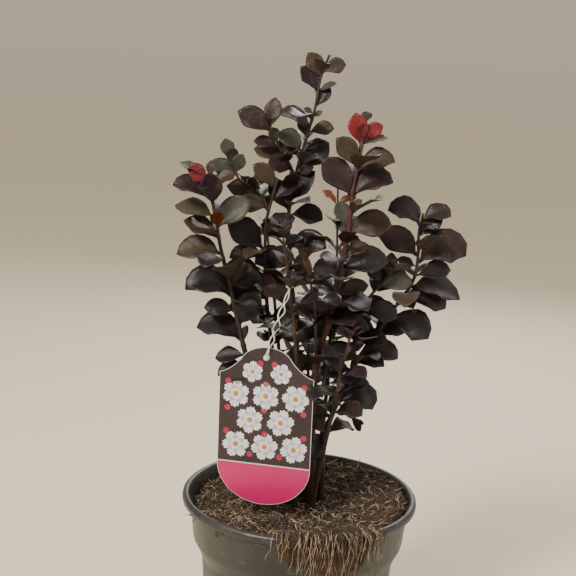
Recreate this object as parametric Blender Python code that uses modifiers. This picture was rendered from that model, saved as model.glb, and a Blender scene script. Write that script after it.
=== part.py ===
"""A potted crape myrtle: a black plastic nursery pot, its root ball, ten stems from one root, the
limbs they carry, and the masses of dark foliage on them, with a picture label tied to a front stem.

Lengths are written in millimetres and turned into metres by MM. The origin is the centre of the
pot's flat underside, +Z is up, and -Y is the front, which the label faces.
"""

import math

import bmesh
import bpy
from mathutils import Matrix, Vector, noise

MM = 0.001
GAP = 0.4  # clearance between any two pieces

# Pot
POT_HEIGHT = 150.0
RIM_RADIUS = 95.0  # outer edge of the rolled lip
LIP_WIDTH = 5.5
LIP_DEPTH = 6.5
COLLAR_TOP_RADIUS = 88.6
COLLAR_FOOT_RADIUS = 85.6
COLLAR_DEPTH = 36.0
SHOULDER_DEPTH = 16.0
BODY_TOP_RADIUS = 78.0
BASE_RADIUS = 71.5
WALL = 1.6
FLOOR = 2.4
DRAIN_COUNT = 8
DRAIN_RADIUS = 5.0
DRAIN_CIRCLE = 58.0
POT_SEGMENTS = 44

# Root ball
SOIL_LEVEL = 140.0  # height of the peat on the left, where it lies flat
MOUND_HEIGHT = 9.0  # how far the peat rises towards the front right
MOUND_HEADING = math.radians(-40.0)
MOUND_REACH = 45.0
LEVEL_RADIUS = 26.0  # the peat is level this far round the stems

# Root mat that has slipped over the rim
MAT_FIRST = math.radians(-98.0)
MAT_LAST = math.radians(-52.0)
MAT_THICKNESS = 4.5
MAT_DROP = 25.0
MAT_SLICES = 10

# Label
LABEL_WIDTH = 74.0
LABEL_HEIGHT = 126.0
LABEL_THICKNESS = 0.6
LABEL_FOOT = Vector((-29.0, -36.0, 151.5))
LABEL_TURN = math.radians(-11.0)  # its right-hand side is nearer the front
LABEL_HOLE_BELOW_TOP = 7.5
LABEL_HOLE_RADIUS = 1.8
KNOT_RADIUS = 2.7
TIE_RADIUS = 0.9
HOOK_SHARE = 0.79  # how far up the front stem the tie is hooked
HOOKED_RADIUS = 1.9  # the front stem's radius there, with a little to spare


# The scene starts empty, with one collection for the object and one for the cutters.
for old in list(bpy.data.objects):
    bpy.data.objects.remove(old, do_unlink=True)

plant = bpy.data.collections.new("potted_crape_myrtle")
cutters = bpy.data.collections.new("cutters")
bpy.context.scene.collection.children.link(plant)
bpy.context.scene.collection.children.link(cutters)


def material(name, colour, roughness, metallic=0.0):
    """A plain Principled material."""
    made = bpy.data.materials.new(name)
    made.use_nodes = True
    shader = made.node_tree.nodes["Principled BSDF"]
    shader.inputs["Base Color"].default_value = (*colour, 1.0)
    shader.inputs["Roughness"].default_value = roughness
    shader.inputs["Metallic"].default_value = metallic
    return made


BLACK_PLASTIC = material("black_plastic", (0.035, 0.036, 0.037), 0.45)
PEAT = material("peat", (0.045, 0.026, 0.014), 0.95)
ROOT_FIBRE = material("root_fibre", (0.09, 0.05, 0.025), 0.95)
BARK = material("bark", (0.075, 0.018, 0.016), 0.6)
DARK_LEAF = material("dark_leaf", (0.022, 0.012, 0.014), 0.4)
LABEL_CARD = material("label_card", (0.62, 0.6, 0.6), 0.3)
WHITE_CORD = material("white_cord", (0.75, 0.74, 0.72), 0.6)


def place(data, name, finish, collection=plant):
    """Puts a mesh or a curve in the scene as a named object, scaled from millimetres to metres."""
    data.transform(Matrix.Scale(MM, 4))
    made = bpy.data.objects.new(name, data)
    collection.objects.link(made)
    if finish:
        data.materials.append(finish)
    if collection is cutters:
        made.hide_render = True
        made.display_type = "WIRE"
    return made


def mesh_from(bm, name):
    """A mesh of what a bmesh holds, shaded smooth."""
    bmesh.ops.recalc_face_normals(bm, faces=bm.faces)
    made = bpy.data.meshes.new(name)
    bm.to_mesh(made)
    bm.free()
    made.shade_smooth()
    return made


def baked(made, weld=0.0):
    """The object's evaluated mesh as data of its own, in millimetres, and the object removed."""
    bpy.context.view_layer.update()
    graph = bpy.context.evaluated_depsgraph_get()
    mesh = bpy.data.meshes.new_from_object(made.evaluated_get(graph))
    mesh.transform(Matrix.Scale(1 / MM, 4) @ made.matrix_world)
    mesh.materials.clear()
    bpy.data.objects.remove(made)
    bm = bmesh.new()
    bm.from_mesh(mesh)
    bmesh.ops.remove_doubles(bm, verts=bm.verts, dist=weld or 0.0001)
    bm.to_mesh(mesh)
    bm.free()
    return mesh


def turned(name, profile, finish, segments, collection=plant):
    """A shape turned about Z from a profile of (radius, height), outer side from top to bottom."""
    mesh = bpy.data.meshes.new(name)
    points = [(radius, 0.0, height) for radius, height in profile]
    mesh.from_pydata(points, [(i, i + 1) for i in range(len(points) - 1)], [])
    made = place(mesh, name, finish, collection)
    screw = made.modifiers.new("turn", "SCREW")
    screw.steps = segments
    screw.render_steps = segments
    screw.use_merge_vertices = True
    screw.merge_threshold = 0.00005
    screw.use_smooth_shade = True
    return made


def cut_by(made, cutter):
    """Takes the cutter's shape out of the object."""
    cut = made.modifiers.new("clear_of_" + cutter.name, "BOOLEAN")
    cut.operation = "DIFFERENCE"
    cut.solver = "EXACT"
    cut.object = cutter


# Pot: a thin injection-moulded shell with a rolled lip, a deep stacking collar and a tapered body,
# open at the top, with a ring of drain holes through its flat floor.
collar_foot = POT_HEIGHT - COLLAR_DEPTH
body_top = collar_foot - SHOULDER_DEPTH


def body_radius(height):
    """Outer radius of the pot's tapered body at a height."""
    return BASE_RADIUS + (BODY_TOP_RADIUS - BASE_RADIUS) * height / body_top


def inner_wall(clearance=0.0):
    """The inside of the pot from floor to lip, as (radius, height), moved in by a clearance."""
    away = WALL + clearance
    return [
        (body_radius(FLOOR) - away, FLOOR + clearance),
        (BODY_TOP_RADIUS - away, body_top),
        (COLLAR_FOOT_RADIUS - 2.0 - away, collar_foot - 4.0),
        (COLLAR_FOOT_RADIUS - away, collar_foot),
        (COLLAR_TOP_RADIUS - away, POT_HEIGHT - LIP_DEPTH),
    ]


lip_inner = RIM_RADIUS - LIP_WIDTH
pot = turned(
    "pot",
    [(0.0, FLOOR)]
    + inner_wall()
    + [
        (lip_inner, POT_HEIGHT - 0.6),
        (lip_inner + 1.4, POT_HEIGHT),
        (RIM_RADIUS - 1.4, POT_HEIGHT - 0.2),
        (RIM_RADIUS, POT_HEIGHT - 2.6),
        (RIM_RADIUS - 0.6, POT_HEIGHT - LIP_DEPTH),
        (COLLAR_TOP_RADIUS + 0.2, POT_HEIGHT - LIP_DEPTH - 0.4),
        (COLLAR_FOOT_RADIUS, collar_foot),
        (COLLAR_FOOT_RADIUS - 2.0, collar_foot - 4.5),
        (BODY_TOP_RADIUS + 0.4, body_top + 1.5),
        (BODY_TOP_RADIUS, body_top - 1.0),
        (body_radius(3.0), 3.0),
        (body_radius(0.0) - 2.0, 0.0),
        (0.0, 0.0),
    ],
    BLACK_PLASTIC,
    POT_SEGMENTS,
)
for hole in range(DRAIN_COUNT):
    heading = 2 * math.pi * (hole + 0.5) / DRAIN_COUNT
    centre = (DRAIN_CIRCLE * math.cos(heading), DRAIN_CIRCLE * math.sin(heading), 0.0)
    bm = bmesh.new()
    bmesh.ops.create_cone(
        bm,
        cap_ends=True,
        segments=8,
        radius1=DRAIN_RADIUS,
        radius2=DRAIN_RADIUS,
        depth=4 * FLOOR,
        matrix=Matrix.Translation(centre),
    )
    cut_by(pot, place(mesh_from(bm, f"drain_{hole}"), f"drain_{hole}", None, cutters))


# Root ball: peat bound by fine roots. It fills the pot, lies flat on the left a little under the
# rim, and is heaped towards the front right.
def soil_height(x, y):
    """Height of the peat's surface at a place in the pot."""
    centre = Vector((math.cos(MOUND_HEADING), math.sin(MOUND_HEADING))) * 1.4 * MOUND_REACH
    away = (Vector((x, y)) - centre).length / MOUND_REACH
    clear_of_stems = min(max((math.hypot(x, y) - LEVEL_RADIUS) / LEVEL_RADIUS, 0.0), 1.0)
    return SOIL_LEVEL + MOUND_HEIGHT * clear_of_stems * math.exp(-away * away)


collar_taper = (COLLAR_TOP_RADIUS - COLLAR_FOOT_RADIUS) / (COLLAR_DEPTH - LIP_DEPTH)
soil_edge = COLLAR_FOOT_RADIUS + collar_taper * (SOIL_LEVEL - 4.0 - collar_foot) - WALL - 2.0 * GAP
soil_rings = [0.0, LEVEL_RADIUS, 42.0, 58.0, 74.0, soil_edge - 1.5]
soil_wall = [point for point in reversed(inner_wall(GAP)) if point[1] < SOIL_LEVEL - 5.0]
surface = turned(
    "root_ball_blank",
    [(radius, SOIL_LEVEL) for radius in soil_rings]
    + [(soil_edge, SOIL_LEVEL - 4.0)]
    + soil_wall
    + [(0.0, FLOOR + GAP)],
    None,
    POT_SEGMENTS,
)
soil_mesh = baked(surface)
for vertex in soil_mesh.vertices:
    if vertex.co.z > SOIL_LEVEL - 1.0:
        vertex.co.z += soil_height(vertex.co.x, vertex.co.y) - SOIL_LEVEL
soil_mesh.shade_smooth()
place(soil_mesh, "root_ball", PEAT)


# Root mat: a sheet of roots and peat that has slipped over the rim at the front right. It lies on
# the root ball, passes over the lip and hangs down outside the collar.
def mat_section(heading, fullness):
    """Corners of one upright slice through the mat, as a closed loop of (radius, height)."""
    inner = 84.5 - 16.0 * fullness
    drop = POT_HEIGHT - 7.0 - MAT_DROP * fullness
    thick = 1.2 + (MAT_THICKNESS - 1.2) * fullness

    def on_soil(radius):
        return soil_height(radius * math.cos(heading), radius * math.sin(heading)) + GAP

    under = [
        (inner, on_soil(inner)),
        (85.0, max(on_soil(85.0), 145.5)),
        (lip_inner - 1.8, POT_HEIGHT + 1.0),
        (RIM_RADIUS - 0.6, POT_HEIGHT + GAP),
        (RIM_RADIUS + GAP, POT_HEIGHT - 2.0),
        (RIM_RADIUS + GAP, POT_HEIGHT - LIP_DEPTH),
        (RIM_RADIUS - 2.5, drop),
    ]
    over = [
        (RIM_RADIUS - 2.5 + 0.6 * thick, drop - 1.0),
        (RIM_RADIUS + GAP + thick, POT_HEIGHT - LIP_DEPTH),
        (RIM_RADIUS + 0.8 * thick, POT_HEIGHT + 0.3 * thick),
        (RIM_RADIUS - 4.0, POT_HEIGHT + thick + 0.5),
        (lip_inner - 3.0, POT_HEIGHT + thick),
        (inner + 0.5, on_soil(inner) + 1.0),
    ]
    return under + over


bm = bmesh.new()
rings = []
for step in range(MAT_SLICES + 1):
    share = step / MAT_SLICES
    heading = MAT_FIRST + (MAT_LAST - MAT_FIRST) * share
    fullness = math.sin(math.pi * share) ** 0.5 * (0.86 + 0.14 * math.cos(9.0 * share))
    section = mat_section(heading, max(fullness, 0.08))
    rings.append([bm.verts.new((r * math.cos(heading), r * math.sin(heading), z)) for r, z in section])
for near, far in zip(rings, rings[1:]):
    for i in range(len(near)):
        j = (i + 1) % len(near)
        bm.faces.new((near[i], near[j], far[j], far[i]))
bm.faces.new(rings[0])
bm.faces.new(reversed(rings[-1]))
place(mesh_from(bm, "root_mat"), "root_mat", ROOT_FIBRE)


# Stems and limbs: each is one tapering limb on a bend from its foot, past an elbow, to its tip.
# The stems stand on the peat on a flat cut, close together, with a slight root flare.
BENDS = {
    "left": ((-9, -2, 140), (-60, -14, 280), (-82, -10, 406)),
    "tall": ((2, 9, 140), (-34, 14, 325), (10, 14, 500)),
    "centre_left": ((-8, 8, 140), (-42, 16, 272), (-28, 4, 405)),
    "middle": ((8, -1, 140), (3, -30, 270), (37, -10, 446)),
    "right": ((18, 4, 140), (20, 2, 240), (79, 0, 321)),
    "inner_right": ((38.5, -2, 262), (38, -10, 305), (62, -12, 332)),
    "front": ((-3, -10, 140), (-4, -26, 265), (-20, -46, 365)),
    "front_right": ((10, -13, 140), (26, -30, 235), (34, -60, 300)),
    "back_left": ((-9, 17, 140), (-20, 40, 250), (-38, 70, 352)),
    "back_right": ((13, 15, 140), (18, 38, 250), (32, 68, 350)),
    "back": ((2, 20, 140), (4, 52, 225), (2, 86, 305)),
}
STEM_POINTS = 6
STUB_POINTS = 4
ROOT_FLARE = 0.35
FLARE_FADE = 9.0
FOOT_STRAIGHT = 3.0


def limb(way, first, last, thick, thin, stands=True):
    """A limb along one share of a bend to another, with its radius at each end."""
    return dict(way=way, shares=(first, last), radii=(thick, thin), stands=stands)


LIMBS = {
    "stem_left": limb("left", 0, 0.5, 3.2, 2.3),
    "stem_left_upper": limb("left", 0.72, 0.82, 1.9, 1.8, stands=False),
    "stem_tall": limb("tall", 0, 0.36, 3.0, 2.4),
    "stem_centre_left": limb("centre_left", 0, 0.42, 2.6, 2.0),
    "stem_middle": limb("middle", 0, 0.58, 3.6, 2.8),
    "stem_middle_upper": limb("middle", 0.75, 0.85, 2.3, 2.1, stands=False),
    "stem_right": limb("right", 0, 0.72, 2.9, 1.9),
    "branch_inner_right": limb("inner_right", 0, 0.3, 1.4, 1.2, stands=False),
    "stem_front": limb("front", 0, 0.9, 2.2, 1.5),
    "stem_front_right": limb("front_right", 0, 0.55, 2.0, 1.6),
    "stem_back_left": limb("back_left", 0, 0.5, 2.4, 1.9),
    "stem_back_right": limb("back_right", 0, 0.5, 2.4, 1.9),
    "stem_back": limb("back", 0, 0.55, 2.0, 1.6),
}


def along(way, share):
    """The point at a share of a bend."""
    foot, elbow, tip = (Vector(point) for point in BENDS[way])
    return foot * (1 - share) ** 2 + elbow * 2 * share * (1 - share) + tip * share * share


def limb_data(name, extra=0.0):
    """The named limb as a round tapering curve, or the same curve thicker by extra all round."""
    one = LIMBS[name]
    way = one["way"]
    first, last = one["shares"]
    thick, thin = one["radii"]
    count = STEM_POINTS if one["stands"] else STUB_POINTS
    centres = [along(way, first + (last - first) * i / (count - 1)) for i in range(count)]
    if one["stands"]:
        centres[0].z = soil_height(centres[0].x, centres[0].y) + GAP
        centres.insert(1, centres[0] + Vector((0, 0, FOOT_STRAIGHT)))
    if extra:
        centres[0] += (centres[0] - centres[1]).normalized() * extra
        centres[-1] += (centres[-1] - centres[-2]).normalized() * extra
    data = bpy.data.curves.new(name, "CURVE")
    data.dimensions = "3D"
    data.bevel_depth = 1.0
    data.bevel_resolution = 2
    data.use_fill_caps = True
    spline = data.splines.new("POLY")
    spline.points.add(len(centres) - 1)
    for i, centre in enumerate(centres):
        share = i / (len(centres) - 1)
        flare = ROOT_FLARE * math.exp(-FLARE_FADE * share) if one["stands"] else 0.0
        spline.points[i].co = (*centre, 1.0)
        spline.points[i].radius = (thick + (thin - thick) * share) * (1.0 + flare) + extra
    return data


limb_cutters = {}
for name in LIMBS:
    place(limb_data(name), name, BARK)
    fat = place(limb_data(name, extra=GAP), name + "_clear_blank", None, cutters)
    limb_cutters[name] = place(baked(fat), name + "_clear", None, cutters)


# Label: a printed plastic tag with a rounded foot, straight sides and hollow shoulders, hung by a
# white cord from the front stem. Its hole takes the knot.
def label_outline():
    """The label's edge, anticlockwise from the right-hand side's foot, as (across, up)."""
    half = LABEL_WIDTH / 2
    foot, shoulder, neck = 31.0, 104.0, 117.0
    edge = []
    for i in range(16):
        turn = math.pi * i / 15
        edge.append((-half * math.cos(turn), foot - foot * math.sin(turn)))
    right_top = [(half, shoulder)]
    for i in range(1, 5):
        share = i / 5
        right_top.append((half - (half - 19.0) * share, shoulder + (neck - shoulder) * share**1.6))
    crown = []
    for i in range(9):
        turn = math.pi * (0.12 + 0.76 * i / 8)
        crown.append((20.5 * math.cos(turn), neck - 4.5 + 13.5 * math.sin(turn)))
    left_top = [(-x, y) for x, y in reversed(right_top)]
    return edge + right_top + crown + left_top


def flat_ring(data, points):
    """Adds a closed line through the points to a flat curve."""
    spline = data.splines.new("POLY")
    spline.points.add(len(points) - 1)
    for point, (x, y) in zip(spline.points, points):
        point.co = (x, y, 0.0, 1.0)
    spline.use_cyclic_u = True


hole_height = LABEL_HEIGHT - LABEL_HOLE_BELOW_TOP


def label_data(name, extra=0.0):
    """The label as a filled outline with its hole, or the label grown by extra, without a hole."""
    data = bpy.data.curves.new(name, "CURVE")
    data.dimensions = "2D"
    data.fill_mode = "BOTH"
    data.extrude = LABEL_THICKNESS / 2 + extra
    middle = Vector((0.0, LABEL_HEIGHT / 2))
    grown = 1.0 + 2.0 * extra / LABEL_WIDTH
    flat_ring(data, [middle + (Vector(point) - middle) * grown for point in label_outline()])
    if not extra:
        turns = [2 * math.pi * i / 12 for i in range(12)]
        radius = LABEL_HOLE_RADIUS
        flat_ring(data, [(radius * math.cos(t), hole_height + radius * math.sin(t)) for t in turns])
    return data


def hang(made):
    """Sets an object drawn on the label's own plane upright in the label's place."""
    made.rotation_euler = (math.pi / 2, 0.0, LABEL_TURN)
    made.location = LABEL_FOOT * MM
    return made


hang(place(label_data("label"), "label", LABEL_CARD))
label_blank = hang(place(label_data("label_clear_blank", extra=GAP), "label_clear_blank", None, cutters))
label_cutter = place(baked(label_blank), "label_clear", None, cutters)


def on_label(across, up, out):
    """A point near the label: across and up on its face, and out towards the front."""
    turn = Matrix.Rotation(LABEL_TURN, 3, "Z")
    return LABEL_FOOT + turn @ Vector((across, -out, up))


# Knot: a ball of cord before the label's hole and a smaller one behind it, joined through the hole.
face = LABEL_THICKNESS / 2 + GAP
knot_profile = []
for i in range(7):
    turn = math.pi / 2 - math.radians(150) * i / 6
    knot_profile.append((KNOT_RADIUS * math.cos(turn), face + KNOT_RADIUS * (1 + math.sin(turn)) * 0.93))
back_radius = 0.8 * KNOT_RADIUS
for i in range(6):
    turn = math.radians(60) - math.radians(150) * i / 5
    knot_profile.append((back_radius * math.cos(turn), -face - back_radius * (1 - math.sin(turn)) * 0.93))
knot_profile[0] = (0.0, knot_profile[0][1])
knot_profile[-1] = (0.0, knot_profile[-1][1])
knot = turned("label_knot", knot_profile, WHITE_CORD, 10)
knot.rotation_euler = (math.pi / 2, 0.0, LABEL_TURN)
knot.location = on_label(0.0, hole_height, 0.0) * MM

# Tie: the doubled white cord, from the knot up to the front stem and once round it.
hook = along("front", HOOK_SHARE)
stem_way = (along("front", HOOK_SHARE + 0.02) - along("front", HOOK_SHARE - 0.02)).normalized()
out = Vector((0.0, -1.0, 0.0))
out = (out - stem_way * out.dot(stem_way)).normalized()
side = stem_way.cross(out)
wrap_radius = HOOKED_RADIUS + GAP + TIE_RADIUS
knot_top = on_label(0.0, hole_height + KNOT_RADIUS + 1.4 * GAP, face + 0.93 * KNOT_RADIUS)
tie_points = []
for i in range(8):
    sag = Vector((0.0, -1.2 * math.sin(math.pi * i / 7), 0.0))
    tie_points.append(knot_top.lerp(hook + out * wrap_radius, i / 7) + sag)
for i in range(1, 10):
    turn = 2 * math.pi * 0.86 * i / 9
    round_stem = (out * math.cos(turn) + side * math.sin(turn)) * wrap_radius
    tie_points.append(hook + round_stem + stem_way * 0.25 * i)


def tie_data(name, extra=0.0):
    """The tie as a round curve, thicker by extra all round."""
    data = bpy.data.curves.new(name, "CURVE")
    data.dimensions = "3D"
    data.bevel_depth = TIE_RADIUS + extra
    data.bevel_resolution = 1
    data.use_fill_caps = True
    spline = data.splines.new("POLY")
    spline.points.add(len(tie_points) - 1)
    for point, centre in zip(spline.points, tie_points):
        point.co = (*centre, 1.0)
    return data


place(tie_data("label_tie"), "label_tie", WHITE_CORD)
tie_blank = place(tie_data("label_tie_clear_blank", extra=GAP), "label_tie_clear_blank", None, cutters)
tie_cutter = place(baked(tie_blank), "label_tie_clear", None, cutters)


# Foliage: each mass is one uneven closed solid round the leafy part of a stem, from its low end to
# its high end. A mass is cut clear of the limbs, the tie and the masses listed before it.
UNEVEN = 0.2  # how far the noise swells and dents a mass
LUMP = 1.7  # how many lumps it makes


def foliage_data(name, mass, seed, extra=0.0):
    """A ball pulled out along the mass's own line, swollen and dented by noise."""
    low, high = Vector(mass["low"]), Vector(mass["high"])
    line = high - low
    centre = (low + high) / 2
    up = line.normalized()
    side = Vector((0, 1, 0)).cross(up).normalized()
    deep = up.cross(side)
    half = (mass["wide"] + extra, mass["deep"] + extra, line.length / 2 + extra)
    bm = bmesh.new()
    bmesh.ops.create_uvsphere(bm, u_segments=10, v_segments=7, radius=1.0)
    for vertex in bm.verts:
        way = vertex.co.normalized()
        swell = 1.0 + UNEVEN * noise.noise(way * LUMP + Vector((seed * 7.3, seed * 3.1, 0.5)))
        vertex.co = centre + (side * half[0] * way.x + deep * half[1] * way.y + up * half[2] * way.z) * swell
    bmesh.ops.triangulate(bm, faces=bm.faces, quad_method="FIXED")
    return mesh_from(bm, name)


def mass(low, high, wide, deep):
    """A mass between two points, with its half width and half depth."""
    return dict(low=low, high=high, wide=wide, deep=deep)


FOLIAGE = {
    "foliage_left_top": mass((-66, -10, 342), (-84, -10, 430), 27, 25),
    "foliage_left_low": mass((-42, -11, 256), (-68, -10, 354), 32, 27),
    "foliage_top": mass((-1, 14, 446), (12, 14, 510), 15, 15),
    "foliage_upper": mass((-20, 14, 362), (-2, 14, 462), 24, 22),
    "foliage_top_left": mass((-14, 13, 402), (-46, 6, 466), 18, 19),
    "foliage_upper_left": mass((-36, 6, 366), (-68, 6, 432), 17, 20),
    "foliage_centre_left": mass((-34, 10, 285), (-30, 4, 408), 22, 24),
    "foliage_middle_top": mass((26, -19, 368), (40, -9, 462), 25, 25),
    "foliage_middle": mass((17, -20, 286), (28, -20, 378), 28, 25),
    "foliage_front_left": mass((-17, -40, 334), (-36, -46, 376), 19, 17),
    "foliage_front": mass((13, -32, 300), (2, -38, 360), 18, 15),
    "foliage_centre": mass((-4, 10, 240), (-8, 14, 380), 32, 26),
    "foliage_right_top": mass((79, 0, 312), (88, 0, 396), 34, 28),
    "foliage_right": mass((44, 0, 256), (82, 0, 318), 24, 24),
    "foliage_inner_right": mass((37, -8, 268), (66, -13, 344), 17, 18),
    "foliage_low_right": mass((22, -6, 190), (36, -6, 268), 20, 22),
    "foliage_front_right": mass((26, -27, 232), (35, -62, 308), 21, 19),
    "foliage_back_left": mass((-18, 32, 236), (-40, 74, 366), 28, 27),
    "foliage_back_right": mass((15, 32, 236), (33, 72, 364), 28, 27),
    "foliage_back": mass((3, 48, 206), (2, 90, 316), 27, 24),
    "foliage_low_left": mass((-40, -13, 226), (-58, -15, 272), 15, 12),
}


def boxes_meet(one, other):
    """True if the boxes round two meshes meet."""
    for axis in range(3):
        first = [v.co[axis] for v in one.vertices]
        second = [v.co[axis] for v in other.vertices]
        if max(first) < min(second) or max(second) < min(first):
            return False
    return True


placed = []
for seed, (name, shape) in enumerate(FOLIAGE.items()):
    data = foliage_data(name, shape, seed)
    clear_data = foliage_data(name + "_clear", shape, seed, extra=2.0 * GAP)
    made = place(data, name, DARK_LEAF)
    for cutter in [*limb_cutters.values(), label_cutter, tie_cutter, *placed]:
        if boxes_meet(data, cutter.data):
            cut_by(made, cutter)
    placed.append(place(clear_data, name + "_clear", None, cutters))
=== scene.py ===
"""The looks of a young dark-leaved crape myrtle in a black nursery pot.

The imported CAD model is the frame: it gives the pot, the root ball and where the plant stands. Each
section below makes one piece of the real thing, in metres, from the pot up to the label's tie.
"""

import math
import random

import bmesh
import bpy
import numpy as np
from mathutils import Matrix, Vector, noise


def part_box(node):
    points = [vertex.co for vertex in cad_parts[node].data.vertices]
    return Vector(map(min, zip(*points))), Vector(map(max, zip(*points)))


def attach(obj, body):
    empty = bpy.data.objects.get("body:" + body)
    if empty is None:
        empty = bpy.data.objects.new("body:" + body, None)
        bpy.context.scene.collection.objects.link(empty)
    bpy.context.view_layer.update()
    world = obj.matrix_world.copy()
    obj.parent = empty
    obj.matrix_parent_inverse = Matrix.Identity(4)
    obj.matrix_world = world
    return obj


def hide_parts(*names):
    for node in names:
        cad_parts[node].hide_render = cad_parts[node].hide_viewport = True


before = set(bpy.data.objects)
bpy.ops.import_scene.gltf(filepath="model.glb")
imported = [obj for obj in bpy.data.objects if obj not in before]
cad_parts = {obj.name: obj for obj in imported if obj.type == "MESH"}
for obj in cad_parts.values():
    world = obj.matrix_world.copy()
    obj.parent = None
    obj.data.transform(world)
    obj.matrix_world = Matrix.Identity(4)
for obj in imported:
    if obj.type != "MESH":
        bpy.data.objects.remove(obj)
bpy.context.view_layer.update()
MM = 0.001


# Camera: it stands where the photographer stood, a little above the plant, and looks down on the rim.
# The frame is turned slightly clockwise, as a hand-held picture is.
RIM_CENTRE = Vector((0.0, 0.0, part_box("pot")[1][2]))
CAMERA_DISTANCE = 0.833
CAMERA_ELEVATION = math.radians(21.8)
LOOK_DOWN = math.radians(10.4)
LOOK_LEFT = math.radians(-1.2)
FRAME_TURN = math.radians(2.4)


def linked(name, data):
    """A new object in the scene with this data."""
    made = bpy.data.objects.new(name, data)
    bpy.context.scene.collection.objects.link(made)
    return made


camera_data = bpy.data.cameras.new("camera")
camera_data.lens = 62.5
camera_data.sensor_width = 36.0
camera = linked("camera", camera_data)
camera.location = RIM_CENTRE + CAMERA_DISTANCE * Vector(
    (0.0, -math.cos(CAMERA_ELEVATION), math.sin(CAMERA_ELEVATION))
)
camera.rotation_euler = (
    Matrix.Rotation(-LOOK_LEFT, 3, "Z")
    @ Matrix.Rotation(math.pi / 2 - LOOK_DOWN, 3, "X")
    @ Matrix.Rotation(FRAME_TURN, 3, "Z")
).to_euler()
bpy.context.scene.camera = camera


# Floor and light: a pale warm floor, a warm sky that is paler overhead, and three soft lamps, of which
# the strongest stands high on the left, as the sun did.
def plain_material(name, colour, roughness):
    """A Principled material and its shader node."""
    made = bpy.data.materials.new(name)
    made.use_nodes = True
    shader = made.node_tree.nodes["Principled BSDF"]
    shader.inputs["Base Color"].default_value = (*colour, 1.0)
    shader.inputs["Roughness"].default_value = roughness
    return made, shader


def object_from(bm, name, smooth=False):
    """A new object in the scene with the mesh of a bmesh, which is freed."""
    mesh = bpy.data.meshes.new(name)
    bm.to_mesh(mesh)
    bm.free()
    if smooth:
        mesh.shade_smooth()
    return linked(name, mesh)


FLOOR_R = 60.0
FLOOR_DROP = 0.5 * MM  # keeps the floor's face off the pot's underside
PLANT_MIDDLE = Vector((0, 0, 0.28))

bm = bmesh.new()
bmesh.ops.create_circle(bm, cap_ends=True, segments=96, radius=FLOOR_R)
floor = object_from(bm, "floor")
floor.location.z = -FLOOR_DROP
floor.data.materials.append(plain_material("pale_floor", (0.78, 0.69, 0.54), 0.9)[0])

HORIZON = (0.6, 0.51, 0.38, 1.0)
OVERHEAD = (0.8, 0.74, 0.62, 1.0)
sky = bpy.data.worlds.new("studio")
bpy.context.scene.world = sky
sky.use_nodes = True
sky_tree = sky.node_tree
direction = sky_tree.nodes.new("ShaderNodeTexCoord")
split = sky_tree.nodes.new("ShaderNodeSeparateXYZ")
height = sky_tree.nodes.new("ShaderNodeMapRange")
height.inputs["From Max"].default_value = 0.5
shade_of_sky = sky_tree.nodes.new("ShaderNodeMix")
shade_of_sky.data_type = "RGBA"
shade_of_sky.inputs["A"].default_value = HORIZON
shade_of_sky.inputs["B"].default_value = OVERHEAD
sky_tree.links.new(direction.outputs["Generated"], split.inputs["Vector"])
sky_tree.links.new(split.outputs["Z"], height.inputs["Value"])
sky_tree.links.new(height.outputs["Result"], shade_of_sky.inputs["Factor"])
sky_tree.links.new(shade_of_sky.outputs["Result"], sky_tree.nodes["Background"].inputs["Color"])
sky_tree.nodes["Background"].inputs["Strength"].default_value = 0.8


def soft_lamp(name, place, size, watts, colour):
    """A square area lamp that faces the middle of the plant."""
    data = bpy.data.lights.new(name, "AREA")
    data.size = size
    data.energy = watts
    data.color = colour
    lamp = linked(name, data)
    lamp.location = place
    lamp.rotation_euler = (Vector(place) - PLANT_MIDDLE).to_track_quat("Z", "Y").to_euler()


soft_lamp("sun_side", (-0.9, -1.1, 1.5), 0.4, 46.0, (1.0, 0.95, 0.86))
soft_lamp("open_side", (1.2, -0.5, 0.9), 0.9, 8.0, (0.9, 0.95, 1.0))
soft_lamp("behind", (0.3, 1.3, 1.1), 0.9, 12.0, (1.0, 0.97, 0.92))


# Pot: a thin injection-moulded shell of black plastic, with a rolled lip, a deep collar that stacks in
# the next pot, a step, and a body that tapers to the foot.
POT_TOP = RIM_CENTRE.z
RIM_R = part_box("pot")[1][0]
WALL = 1.6 * MM
COLLAR_FOOT = POT_TOP - 36 * MM
BODY_TOP = POT_TOP - 52 * MM


def turn_profile(name, profile, segments):
    """A closed mesh turned about Z from (radius, height) points that run anticlockwise in XZ."""
    bm = bmesh.new()
    rings = []
    for i in range(segments):
        heading = 2 * math.pi * i / segments
        rings.append([bm.verts.new((r * math.cos(heading), r * math.sin(heading), z)) for r, z in profile])
    count = len(profile)
    for i in range(segments):
        near, far = rings[i], rings[(i + 1) % segments]
        for j in range(count):
            k = (j + 1) % count
            bm.faces.new((near[j], far[j], far[k], near[k]))
    bmesh.ops.recalc_face_normals(bm, faces=bm.faces)
    return object_from(bm, name, smooth=True)


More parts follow.
